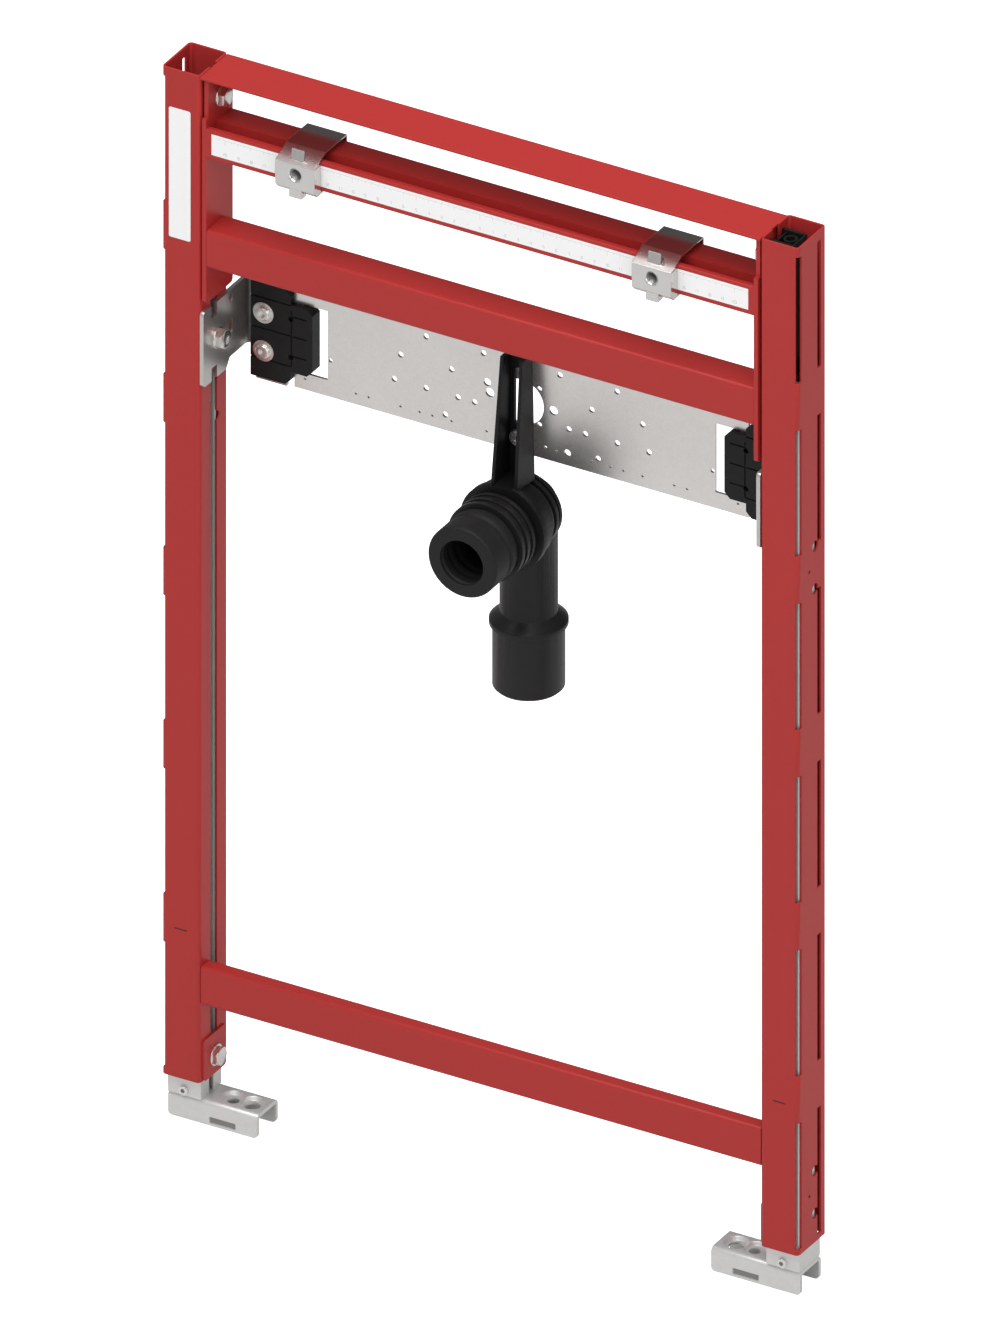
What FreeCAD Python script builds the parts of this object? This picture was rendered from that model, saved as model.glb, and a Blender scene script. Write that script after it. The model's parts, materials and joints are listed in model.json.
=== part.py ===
import FreeCAD, Part
import os
from types import SimpleNamespace

import Sketcher

# Washbasin installation frame, millimetres, +Z up, +Y towards the wall, +X to the right.
# The pieces are laid out from the left upright's outer front edge at floor level, and each is
# then placed so that the origin lies on the floor edge of the left foot, under the upright's axis.

# Driving dimensions: name, value, what it measures
SIZES = [
    ("frame_width", 500, "outer face to outer face of the uprights"),
    ("upright_width", 30, "upright section across the frame"),
    ("upright_depth", 38.4, "upright section front to back"),
    ("upright_wall", 1.5, "upright sheet thickness"),
    ("upright_radius", 3, "outer corner radius of the upright"),
    ("upright_bottom", 34, "height of the upright's lower end with the legs pushed in"),
    ("upright_length", 791, "length of an upright"),
    ("channel_width", 8.6, "bolt channel along the upright's inner side"),
    ("channel_centre", 19.2, "front face to the middle of the bolt channel"),
    ("perforation_count", 6, "corner slots up an upright"),
    ("perforation_pitch", 136, "corner slot to corner slot"),
    ("perforation_length", 99, "length of a corner slot"),
    ("perforation_start", 4.6, "upright's lower end to the first slot"),
    ("corner_slot_front", 2.6, "corner slot's bite into the front face"),
    ("corner_slot_side", 4.7, "corner slot's bite into the outer face"),
    ("back_slot_start", 26.1, "front face to the near edge of a back slot"),
    ("back_slot_width", 4.8, "width of a back slot"),
    ("fixing_radius", 4, "radius of the fixing holes through an upright"),
    ("fixing_depth", 23, "front face to the fixing holes"),
    ("fixing_spacing", 33.4, "height between two fixing holes"),
    ("fixing_upper_drop", 261.2, "upright's upper end to the middle of the upper pair of fixing holes"),
    ("fixing_lower_rise", 39.5, "upright's lower end to the middle of the lower pair"),
    ("marker_radius", 1.3, "radius of the small hole between two fixing holes"),
    ("marker_depth", 15.4, "front face to that small hole"),
    ("leg_play", 0.5, "gap between a leg and the inside of its upright"),
    ("leg_front", 5, "front face of the upright to the front of the leg"),
    ("leg_depth", 21.5, "leg section front to back"),
    ("leg_wall", 1.5, "leg sheet thickness"),
    ("stub_depth", 28, "depth of the box at the leg's lower end"),
    ("stub_gap", 0.6, "gap between that box and the upright's lower end"),
    ("stub_slot", 6, "width of the slot in that box"),
    ("foot_screw_radius", 3.6, "head radius of the screw at the leg's lower end"),
    ("foot_screw_height", 2.4, "head height of that screw"),
    ("foot_screw_lift", 4.6, "foot's top to the screw's axis"),
    ("foot_inset", 1.8, "upright's outer face to the foot's outer end"),
    ("foot_length", 70, "foot plate across the frame"),
    ("foot_front", 5.5, "front face of the upright to the front of the foot"),
    ("foot_depth", 28.5, "foot plate front to back"),
    ("foot_height", 18.2, "foot plate height"),
    ("foot_sheet", 3, "foot plate sheet thickness"),
    ("foot_bend", 4, "outer bend radius of the foot plate"),
    ("foot_corner", 3, "radius of the flanges' lower corners"),
    ("anchor_offset", 58.2, "outer end of the foot to its anchor hole"),
    ("anchor_radius", 5.5, "radius of the anchor hole"),
    ("spare_offset", 43.4, "outer end of the foot to its second hole"),
    ("spare_radius", 4.2, "radius of the second hole"),
    ("dish_radius", 9, "radius of the dish drawn round each foot hole"),
    ("dish_depth", 2.6, "depth of that dish"),
    ("dish_flare", 2, "radius that the dish loses down to its floor"),
    ("dish_sheet", 2.2, "sheet thickness under the dish"),
    ("edge_notch_radius", 1.6, "notch in the foot's back edge"),
    ("edge_notch_offset", 48, "outer end of the foot to that notch"),
    ("stamp_start", 17, "inner end of the foot to the stamp's recess"),
    ("stamp_length", 20.5, "length of the recess"),
    ("stamp_height", 5, "height of the recess"),
    ("stamp_low", 1.8, "foot's lower edge to the recess"),
    ("stamp_depth", 1, "depth of the recess"),
    ("bar_sheet", 2, "sheet thickness of the crossbars"),
    ("top_drop", 0.5, "upright's upper end to the top of the top crossbar"),
    ("top_bend", 1.6, "outer bend radius of the top crossbar"),
    ("top_web", 25, "height of the top crossbar's back web"),
    ("side_gap", 1.8, "gap between a side plate and its upright"),
    ("side_sheet", 3.2, "side plate thickness"),
    ("side_length", 174.5, "height of a side plate"),
    ("side_step_length", 30, "side plate's upper end to where its front edge steps back"),
    ("side_step", 3.2, "that step's depth"),
    ("middle_drop", 118.5, "top of the top crossbar to the top of the middle crossbar"),
    ("middle_height", 30, "middle crossbar section height"),
    ("middle_depth", 25, "middle crossbar section depth"),
    ("bar_radius", 2.6, "outer edge radius of the crossbars"),
    ("lower_rise", 61.5, "upright's lower end to the lower crossbar's underside"),
    ("lower_height", 30.5, "lower crossbar section height"),
    ("lower_depth", 12, "lower crossbar section depth"),
    ("lower_setback", 1, "upright's front face to the lower crossbar's front"),
    ("rail_drop", 39, "top of the top crossbar to the top of the washbasin rail"),
    ("rail_height", 23, "washbasin rail section height"),
    ("rail_depth", 34, "washbasin rail section depth"),
    ("rail_wall", 3, "washbasin rail wall thickness"),
    ("rail_lip", 4, "thickness of the rail's front lip"),
    ("rail_groove", 10, "width of the groove behind the lip"),
    ("rail_groove_depth", 8, "depth of that groove"),
    ("rail_radius", 1, "outer edge radius of the rail"),
    ("bolt_radius", 4, "shank radius of the clamping bolts"),
    ("bolt_hole_play", 0.4, "radial play of a bolt in its plate"),
    ("bolt_tail", 2, "bolt's end past its nut"),
    ("head_across", 13, "hexagon across flats"),
    ("head_height", 5.3, "bolt head height"),
    ("washer_radius", 8, "washer radius"),
    ("washer_sheet", 1.6, "washer thickness"),
    ("nut_width", 10.4, "channel nut width"),
    ("nut_length", 18, "channel nut length along the upright"),
    ("nut_thickness", 5, "channel nut thickness"),
    ("nut_play", 0.3, "gap between a channel nut and the leg"),
    ("top_bolt_drop", 22.5, "upright's upper end to the top bolts"),
    ("lock_height", 32, "lock plate height"),
    ("lock_setback", 3.6, "upright's front face to the lock plate's front edge"),
    ("lock_depth", 30, "lock plate front to back"),
    ("lock_sheet", 1.5, "lock plate thickness"),
    ("lock_bolt_height", 14, "upright's lower end to the lock bolt"),
    ("plate_radius", 3, "corner radius of the flat plates"),
    ("guide_drop", 5, "upright's upper end to the top of the upper guide"),
    ("guide_length", 103, "length of the right upper guide"),
    ("left_guide_cut", 35, "how much shorter the left one is"),
    ("guide_radius", 1.5, "edge radius of an upper guide"),
    ("guide_width", 19.5, "upper guide across the frame"),
    ("guide_depth", 19.6, "upper guide front to back"),
    ("guide_wall", 2, "upper guide wall thickness"),
    ("carrier_sheet", 3, "carrier bracket sheet thickness"),
    ("carrier_gap", 8, "side plate's lower end to the carrier bracket's upper edge"),
    ("carrier_height", 59, "height of the bracket on the upright"),
    ("carrier_front_depth", 36, "depth of the bracket's part that lies on the upright"),
    ("carrier_chamfer", 5, "that part's lower corner cut back"),
    ("carrier_notch_start", 11, "front face to the notches in the bracket's edges"),
    ("carrier_notch_width", 7.5, "width of those notches"),
    ("carrier_notch_height", 10, "height of those notches"),
    ("carrier_slot_depth", 37, "front face to the arm's slots"),
    ("carrier_slot_width", 4.5, "width of the arm's slots"),
    ("carrier_slot_length", 11, "length of the middle slot"),
    ("carrier_top_slot_length", 7, "length of the upper slot"),
    ("carrier_top_slot_drop", 6, "bracket's upper edge to the middle of the upper slot"),
    ("carrier_bend", 5, "inner bend radius of the bracket"),
    ("carrier_bend_lead", 1, "straight stretch beside the bend"),
    ("carrier_arm_rise", 7, "bracket's lower edge to the arm's lower edge"),
    ("carrier_reach", 64, "front face of the upright to the back of the bracket"),
    ("carrier_flange_rise", 5, "bracket's upper edge to the turned flange's upper end"),
    ("carrier_flange_height", 84, "height of the turned flange"),
    ("carrier_flange_width", 30, "width of the turned flange"),
    ("carrier_bolt_drop", 28, "bracket's upper edge to the carrier bolt"),
    ("panel_height", 79.7, "mounting plate height"),
    ("panel_drop", 35, "bracket's upper edge to the mounting plate's middle row of holes"),
    ("panel_low_edge", 39.7, "that row to the plate's lower edge"),
    ("panel_front", 56.6, "front face of the upright to the front of the plate"),
    ("panel_sheet", 2, "mounting plate thickness"),
    ("panel_end_strip", 7, "strip left outside each end window"),
    ("panel_window_width", 19.2, "width of an end window"),
    ("panel_window_height", 54, "height of an end window"),
    ("panel_centre_hole", 17.5, "radius of the plate's centre hole"),
    ("holder_gap", 6.6, "carrier bracket's side to the plate holder"),
    ("holder_width", 31.7, "plate holder across the frame, without its tongue"),
    ("holder_height", 74, "plate holder height"),
    ("holder_front", 52.3, "front face of the upright to the front of the holder"),
    ("holder_tongue", 17, "length of the holder's tongue"),
    ("holder_tongue_height", 52.6, "height of the holder's tongue"),
    ("holder_play", 0.3, "gap between a holder and the mounting plate"),
    ("holder_chamfer", 4.5, "chamfer at the holder's corners"),
    ("holder_hook", 4, "hook past the plate's back"),
    ("holder_groove_width", 1.2, "width of the grooves in the holder's front"),
    ("holder_groove_depth", 0.8, "depth of those grooves"),
    ("holder_groove_pitch", 24, "groove to groove on the holder"),
    ("tongue_groove_pitch", 15.5, "groove to groove on the tongue"),
    ("holder_groove_rise", 1.4, "plate's middle to the middle groove's lower edge"),
    ("pin_hole_radius", 2, "radius of the moulding pins' holes"),
    ("pin_hole_depth", 3, "depth of those holes"),
    ("holder_screw_spacing", 29.8, "height between the holder screws"),
    ("holder_screw_radius", 8, "head radius of the holder screws"),
    ("holder_screw_inset", 10.8, "holder's outer edge to the screws"),
    ("screw_flange", 1.4, "thickness of the screw head's flange"),
    ("screw_crown_radius", 5.4, "radius of the crown on that flange"),
    ("screw_crown", 2.6, "height of that crown"),
    ("screw_edge", 0.8, "chamfer round a round head"),
    ("key_across", 5, "hexagon socket across its flats"),
    ("key_depth", 2.2, "depth of a hexagon socket"),
    ("screw_shank_radius", 3, "shank radius of the small screws"),
    ("screw_play", 0.3, "radial play of a small screw in its hole"),
    ("drain_drop", 86, "plate's middle row of holes down to the drain mouth's axis"),
    ("mouth_front", -25, "upright's front face to the front of the drain nipple"),
    ("nipple_radius", 27, "outer radius of the drain nipple"),
    ("nipple_bore", 17, "radius of the hole in the nipple"),
    ("nipple_length", 32, "length of the nipple"),
    ("nipple_edge", 1.5, "chamfer at the nipple's mouth"),
    ("nipple_taper", 5, "length of the nipple's taper"),
    ("nipple_tail", 4, "length of its narrow end"),
    ("nipple_tail_radius", 25.6, "radius of its narrow end"),
    ("nipple_fold", 0.9, "depth of the folds in its hole"),
    ("socket_radius", 29.5, "outer radius of the bend's socket"),
    ("socket_length", 18, "length of the bend's socket"),
    ("socket_groove", 1.4, "depth of the grooves round the socket"),
    ("neck_radius", 24.5, "outer radius of the bend behind the socket"),
    ("rib_radius", 28, "radius of the ribs on the bend"),
    ("rib_width", 3.4, "width of a rib"),
    ("rib_gap", 3.2, "gap between the ribs"),
    ("rim_radius", 27, "radius of the rim at the bend's back"),
    ("rim_width", 3, "width of that rim"),
    ("pipe_wall", 3, "wall of the drain pipe"),
    ("pipe_radius", 20, "outer radius of the vertical pipe"),
    ("pipe_axis", 66.5, "upright's front face to the vertical pipe's axis"),
    ("collar_drop", 81.5, "drain mouth's axis to where the vertical pipe widens"),
    ("collar_radius", 27.3, "outer radius of the collar"),
    ("collar_flare", 6.5, "height over which the pipe widens to the collar"),
    ("collar_rim", 3.4, "height of the collar's rim"),
    ("collar_taper", 1, "height from the rim down to the spigot"),
    ("spigot_radius", 25, "outer radius of the outlet spigot"),
    ("spigot_edge", 1.8, "chamfer at the spigot's end"),
    ("outlet_drop", 141, "drain mouth's axis to the outlet's lower end"),
    ("ring_radius", 31, "outer radius of the drain clamp ring"),
    ("ring_lip_radius", 33, "radius of the ring's front lip"),
    ("ring_lip_width", 6, "width of that lip"),
    ("ring_start", 30, "upright's front face to the clamp ring"),
    ("ring_play", 0.3, "gap between the clamp ring and the bend"),
    ("bracket_width", 20.8, "drain holder channel width at its foot"),
    ("bracket_top_width", 17.7, "its width at its upper end"),
    ("bracket_wall", 2.6, "drain holder wall thickness"),
    ("bracket_low_reach", 24, "channel depth at its lower end"),
    ("bracket_high_reach", 13.6, "channel depth at its upper end"),
    ("bracket_bolt_drop", 26, "plate's middle row down to the drain holder's bolt"),
    ("bracket_pin_drop", 11, "that bolt to the small hole below"),
    ("bracket_slot_rise", 4, "plate's middle row up to the middle of the channel's slot"),
    ("bracket_slot_length", 48, "length of that slot"),
    ("bracket_slot_width", 8, "width of that slot"),
    ("drain_head_height", 4, "head height of the drain holder's bolt"),
    ("clamp_spacing", 280, "middle to middle of the two clamps"),
    ("clamp_width", 31, "clamp width"),
    ("clamp_sheet", 1.5, "clamp strap thickness"),
    ("clamp_play", 0.3, "gap between a clamp and the rail"),
    ("clamp_front", 9.5, "rail's front face to the clamp block's front"),
    ("clamp_shoulder", 2, "rail's top to the strap's lower end"),
    ("clamp_bend", 2, "bend radius of the strap"),
    ("clamp_block_low", 2, "rail's underside to the clamp block's underside"),
    ("clamp_undercut", 4, "how far the block slants back below"),
    ("clamp_toe_sheet", 1.8, "thickness of the toe"),
    ("clamp_slope", 6, "rail's front face to the top of the strap's slope"),
    ("clamp_crown", 3.2, "rail's top to the underside of the strap"),
    ("clamp_hook", 20, "length of the hook behind the rail"),
    ("clamp_toe", 6, "length of the toe under the rail"),
    ("thread_radius", 4.25, "core radius of the clamp's thread"),
    ("thread_mouth", 5.4, "mouth radius of the clamp's thread"),
    ("thread_height", 12.7, "rail's underside to the clamp's thread"),
    ("rib_setback", 3.2, "block's front to the front of the strap's gusset"),
    ("rib_height", 10, "height of the gusset"),
    ("rib_lean", 1.6, "how far the gusset's front leans back"),
    ("rib_seat", 3.9, "strap's lower end to where the gusset's back meets it"),
    ("tab_width", 10, "width of the tab and the gusset"),
    ("tab_setback", 0.6, "block's front to the tab's front"),
    ("tab_depth", 7, "tab front to back"),
    ("tab_drop", 5.5, "rail's underside to the tab's lower end"),
]

# Mounting plate holes as radius, offset across and offset up from the plate's centre
PANEL_ROWS = [
    (2.25, -11, (37, 50, 75, 100)),
    (1.6, -11, (150,)),
    (2.25, 9.5, (55, 95)),
    (2.25, 29.5, (75, 30)),
    (2.25, -27.5, (60,)),
    (1, -31, (27.4, 55, 70, 80, 95, 120, 130, 170)),
    (2, 14, (14,)),
    (2, -14, (14,)),
    (3.5, 0, (25,)),
]

# Its single holes as radius, offset across and offset up
PANEL_HOLES = [(3, -27, 7.5), (2.75, 36, -30), (1.3, 18.8, -30.5)]


class Size:
    """A length together with the spreadsheet expression that gives it."""

    def __init__(self, value, text):
        self.value = value
        self.text = text

    def joined(self, other, sign, value, swap=False):
        other_text = other.text if isinstance(other, Size) else repr(other)
        first, second = (other_text, self.text) if swap else (self.text, other_text)
        return Size(value, f"({first} {sign} {second})")

    def __add__(self, other):
        return self.joined(other, "+", self.value + number(other))

    def __radd__(self, other):
        return self.joined(other, "+", other + self.value, swap=True)

    def __sub__(self, other):
        return self.joined(other, "-", self.value - number(other))

    def __rsub__(self, other):
        return self.joined(other, "-", other - self.value, swap=True)

    def __mul__(self, other):
        return self.joined(other, "*", self.value * number(other))

    def __rmul__(self, other):
        return self.joined(other, "*", other * self.value, swap=True)

    def __truediv__(self, other):
        return self.joined(other, "/", self.value / number(other))

    def __neg__(self):
        return Size(-self.value, f"(-{self.text})")


def number(size):
    """The plain number of a Size or of a number."""
    return size.value if isinstance(size, Size) else size


ZERO = Size(0, "0")

doc = FreeCAD.newDocument("washbasin_frame")
sheet = doc.addObject("Spreadsheet::Sheet", "Sizes")
for row, (alias, value, meaning) in enumerate(SIZES, 1):
    sheet.set(f"A{row}", alias)
    sheet.set(f"B{row}", str(value))
    sheet.set(f"C{row}", meaning)
    sheet.setAlias(f"B{row}", alias)
doc.recompute()
dim = SimpleNamespace(**{alias: Size(value, "Sizes." + alias) for alias, value, _ in SIZES})

X = FreeCAD.Vector(1, 0, 0)
Y = FreeCAD.Vector(0, 1, 0)
Z = FreeCAD.Vector(0, 0, 1)
PIECES = []
HEXAGON_FLATS = 3 ** 0.5  # a hexagon's size across its flats over its corner radius


def bind(item, path, size):
    """Drive a property by a size."""
    if isinstance(size, Size):
        item.setExpression(path, size.text)
    else:
        item.setExpression(path, repr(size))


def place(item, x, y, z, direction=Z):
    """Put an object at a point with its own Z along a direction."""
    item.Placement = FreeCAD.Placement(FreeCAD.Vector(), FreeCAD.Rotation(Z, direction))
    for axis, size in zip("xyz", (x, y, z)):
        bind(item, ".Placement.Base." + axis, size)
    return item


def box(name, low, high):
    """A box between two corners."""
    solid = doc.addObject("Part::Box", name)
    for side, start, end in zip(("Length", "Width", "Height"), low, high):
        bind(solid, side, end - start)
    return place(solid, *low)


def rod(name, radius, length, start, direction=Z):
    """A round bar from a point along a direction."""
    solid = doc.addObject("Part::Cylinder", name)
    bind(solid, "Radius", radius)
    bind(solid, "Height", length)
    return place(solid, *start, direction)


def cone(name, first_radius, last_radius, length, start, direction=Z):
    """A tapered round bar from a point along a direction."""
    solid = doc.addObject("Part::Cone", name)
    bind(solid, "Radius1", first_radius)
    bind(solid, "Radius2", last_radius)
    bind(solid, "Height", length)
    return place(solid, *start, direction)


def ball(name, radius, centre_point):
    """A ball round a point."""
    solid = doc.addObject("Part::Sphere", name)
    bind(solid, "Radius", radius)
    return place(solid, *centre_point)


def hexagon(name, across, length, start, direction=X):
    """A hexagonal bar, given across its flats, from a point along a direction."""
    solid = doc.addObject("Part::Prism", name)
    solid.Polygon = 6
    bind(solid, "Circumradius", across / HEXAGON_FLATS)
    bind(solid, "Height", length)
    return place(solid, *start, direction)


def fuse(name, *solids):
    """One solid from several."""
    union = doc.addObject("Part::MultiFuse", name)
    union.Shapes = list(solids)
    union.Refine = True
    return union


def cut(name, base, *tools):
    """A solid less several others."""
    result = doc.addObject("Part::Cut", name)
    result.Base = base
    result.Tool = tools[0] if len(tools) == 1 else fuse(name + "_tools", *tools)
    return result


def sketch_on(body, name, plane, offset):
    """A sketch on one of the body's own origin planes, moved along the plane's normal."""
    support = [item for item in body.Origin.OriginFeatures if item.Role == plane + "_Plane"][0]
    sketch = body.newObject("Sketcher::SketchObject", name)
    sketch.AttachmentSupport = (support, "")
    sketch.MapMode = "FlatFace"
    bind(sketch, ".AttachmentOffset.Base.z", offset)
    return sketch


def fix_point(sketch, geometry, position, point):
    """Hold a sketch point at its distances from the sketch's origin."""
    for kind, size in zip(("DistanceX", "DistanceY"), point):
        index = sketch.addConstraint(Sketcher.Constraint(kind, geometry, position, number(size)))
        bind(sketch, f"Constraints[{index}]", size)


def polygon(sketch, points):
    """Draw a closed outline through the points."""
    vectors = [FreeCAD.Vector(number(across), number(up), 0) for across, up in points]
    lines = [
        sketch.addGeometry(Part.LineSegment(start, end))
        for start, end in zip(vectors, vectors[1:] + vectors[:1])
    ]
    for line, following in zip(lines, lines[1:] + lines[:1]):
        sketch.addConstraint(Sketcher.Constraint("Coincident", line, 2, following, 1))
    for line, point in zip(lines, points):
        fix_point(sketch, line, 1, point)


def profile(name, plane, outlines, start, length):
    """A body with the outlines, the first outside the others, carried along the plane's normal."""
    body = doc.addObject("PartDesign::Body", name)
    sketch = sketch_on(body, name + "_outline", plane, start)
    for outline in outlines:
        polygon(sketch, outline)
    pad = body.newObject("PartDesign::Pad", name + "_length")
    pad.Profile = sketch
    bind(pad, "Length", length)
    return body


def turned(name, stretches, start, direction=Z):
    """A turned bar from a point along a direction: each stretch has two end radii and a length."""
    points, height = [(ZERO, ZERO)], ZERO
    for first, last, length in stretches:
        if number(points[-1][0]) != number(first):
            points.append((first, height))
        height = height + length
        points.append((last, height))
    points.append((ZERO, height))
    body = doc.addObject("PartDesign::Body", name)
    sketch = sketch_on(body, name + "_outline", "XZ", 0)
    polygon(sketch, points)
    turn = body.newObject("PartDesign::Revolution", name + "_turn")
    turn.Profile = sketch
    turn.ReferenceAxis = (sketch, ["V_Axis"])
    return place(body, *start, direction)


def rectangle(left, right, low, high):
    """The four corners of a rectangle."""
    return [(left, low), (right, low), (right, high), (left, high)]


def long_hole(name, radius, length, depth, start, direction):
    """A cutter for an upright slot with round ends: its middle, and the way it goes through."""
    x, y, z = start
    reach = length / 2 - radius
    across = (radius, ZERO) if direction == Y else (ZERO, radius)
    along = (ZERO, depth) if direction == Y else (depth, ZERO)
    middle = box(name + "_middle", (x - across[0], y - across[1], z - reach),
                 (x + across[0] + along[0], y + across[1] + along[1], z + reach))
    ends = [rod(name + "_end", radius, depth, (x, y, end), direction) for end in (z - reach, z + reach)]
    return fuse(name, middle, *ends)


def pocket(body, name, plane, draw, depth=None, away=False):
    """Cut what draw puts on a plane, along the plane's normal or away from it."""
    sketch = sketch_on(body, name + "_outline", plane, 0)
    draw(sketch)
    cutter = body.newObject("PartDesign::Pocket", name)
    cutter.Profile = sketch
    if depth is None:
        cutter.Type = "ThroughAll"
    else:
        bind(cutter, "Length", depth)
    cutter.Reversed = not away
    return cutter


def circles(holes):
    """A drawing of circles, each given as radius, across and up."""

    def draw(sketch):
        for radius, across, up in holes:
            centre = FreeCAD.Vector(number(across), number(up), 0)
            ring = sketch.addGeometry(Part.Circle(centre, FreeCAD.Vector(0, 0, 1), number(radius)))
            fix_point(sketch, ring, 3, (across, up))
            index = sketch.addConstraint(Sketcher.Constraint("Radius", ring, number(radius)))
            bind(sketch, f"Constraints[{index}]", radius)

    return draw


def round_edges(body, name, radius, direction, corners):
    """Round the edges that run along a direction through the corners of the profile."""
    doc.recompute()
    base = body.Tip
    across, up = {"x": ("y", "z"), "y": ("x", "z"), "z": ("x", "y")}[direction]
    names = []
    for index, edge in enumerate(base.Shape.Edges, 1):
        start, end = edge.Vertexes[0].Point, edge.Vertexes[-1].Point
        if abs(getattr(start, direction) - getattr(end, direction)) < 0.01:
            continue
        for corner in corners:
            far = [abs(getattr(point, axis) - number(place))
                   for point in (start, end) for axis, place in zip((across, up), corner)]
            if max(far) < 0.01:
                names.append(f"Edge{index}")
    fillet = body.newObject("PartDesign::Fillet", name)
    fillet.Base = (base, names)
    bind(fillet, "Radius", radius)
    body.Tip = fillet
    return fillet


def to_origin(item):
    """Bring a finished piece from the layout to the part's origin."""
    bind(item, ".Placement.Base.x", -(dim.upright_width / 2))
    bind(item, ".Placement.Base.y", -(dim.foot_front + dim.foot_sheet / 2))


def keep(label, item):
    """Name a finished piece and bring it to its place."""
    item.Label = label
    to_origin(item)
    PIECES.append(item)


def keep_mirrored(label, item):
    """Name the mirror image, on the right, of a piece that is laid out on the left."""
    to_origin(item)
    mirror = doc.addObject("Part::Mirroring", label + "_mirrored")
    mirror.Source = item
    mirror.Normal = X
    bind(mirror, "Base.x", dim.frame_width / 2 - dim.upright_width / 2)
    mirror.Label = label
    PIECES.append(mirror)


def keep_pair(label, item):
    """Name a finished left piece and its mirror image on the right."""
    keep("left_" + label, item)
    keep_mirrored("right_" + label, item)


upright_top = dim.upright_bottom + dim.upright_length
inner_face = dim.upright_width
centre = dim.frame_width / 2
bar_span = dim.frame_width - 2 * dim.upright_width
crossbar_top = upright_top - dim.top_drop
guide_bottom = upright_top - dim.guide_drop - dim.guide_length
top_bolt_height = upright_top - dim.top_bolt_drop
middle_bottom = crossbar_top - dim.middle_drop - dim.middle_height
rail_top = crossbar_top - dim.rail_drop
rail_bottom = rail_top - dim.rail_height
side_top = crossbar_top - dim.bar_sheet
side_bottom = side_top - dim.side_length
lower_bottom = dim.upright_bottom + dim.lower_rise
fixing_upper = upright_top - dim.fixing_upper_drop
fixing_lower = dim.upright_bottom + dim.fixing_lower_rise
carrier_top = side_bottom - dim.carrier_gap
carrier_bottom = carrier_top - dim.carrier_height
carrier_arm_bottom = carrier_bottom + dim.carrier_arm_rise
flange_bottom = carrier_top + dim.carrier_flange_rise - dim.carrier_flange_height
carrier_bolt_height = carrier_top - dim.carrier_bolt_drop
panel_centre = carrier_top - dim.panel_drop
holder_left = inner_face + dim.carrier_sheet + dim.holder_gap
holder_right = holder_left + dim.holder_width
panel_left = holder_right + dim.holder_play
panel_bottom = panel_centre - dim.panel_low_edge
panel_back = dim.panel_front + dim.panel_sheet
holder_bottom = panel_centre - dim.holder_height / 2
screw_heights = [panel_centre + side * dim.holder_screw_spacing / 2 for side in (-1, 1)]
bracket_top = panel_bottom + dim.panel_height
bracket_bolt_height = panel_centre - dim.bracket_bolt_drop
bracket_slot_height = panel_centre + dim.bracket_slot_rise
drain_height = panel_centre - dim.drain_drop
collar_top = drain_height - dim.collar_drop
spigot_bottom = drain_height - dim.outlet_drop


def uprights():
    """Sheet channel, open to the inside by the bolt channel, slotted at its corner and back."""
    width, depth, wall = dim.upright_width, dim.upright_depth, dim.upright_wall
    low = dim.channel_centre - dim.channel_width / 2
    high = dim.channel_centre + dim.channel_width / 2
    outline = [
        (ZERO, ZERO), (width, ZERO), (width, low), (width - wall, low),
        (width - wall, wall), (wall, wall), (wall, depth - wall), (width - wall, depth - wall),
        (width - wall, high), (width, high), (width, depth), (ZERO, depth),
    ]
    body = profile("upright", "XY", [outline], dim.upright_bottom, dim.upright_length)
    round_edges(body, "upright_corners", dim.upright_radius, "z",
                [outline[0], outline[1], outline[10], outline[11]])
    round_edges(body, "upright_inner_corners", dim.upright_radius - wall, "z",
                [outline[4], outline[5], outline[6], outline[7]])
    first = dim.upright_bottom + dim.perforation_start
    last = first + dim.perforation_length
    corner = pocket(body, "corner_slot", "XZ",
                    lambda sketch: polygon(sketch, rectangle(-dim.upright_radius, dim.corner_slot_front,
                                                             first, last)),
                    dim.corner_slot_side, away=True)
    back = pocket(body, "back_slot", "YZ",
                  lambda sketch: polygon(sketch, rectangle(dim.back_slot_start,
                                                           dim.back_slot_start + dim.back_slot_width,
                                                           first, last)),
                  wall)
    row = body.newObject("PartDesign::LinearPattern", "slot_rows")
    row.Originals = [corner, back]
    row.Direction = ([item for item in body.Origin.OriginFeatures if item.Role == "Z_Axis"][0], [""])
    bind(row, "Length", dim.perforation_pitch * (dim.perforation_count - 1))
    bind(row, "Occurrences", dim.perforation_count)
    body.Tip = row
    holes = []
    for middle in (fixing_upper, fixing_lower):
        holes.append((dim.fixing_radius, dim.fixing_depth, middle - dim.fixing_spacing / 2))
        holes.append((dim.fixing_radius, dim.fixing_depth, middle + dim.fixing_spacing / 2))
        holes.append((dim.marker_radius, dim.marker_depth, middle))
    pocket(body, "fixing_holes", "YZ", circles(holes))
    keep_pair("upright", body)


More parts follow.
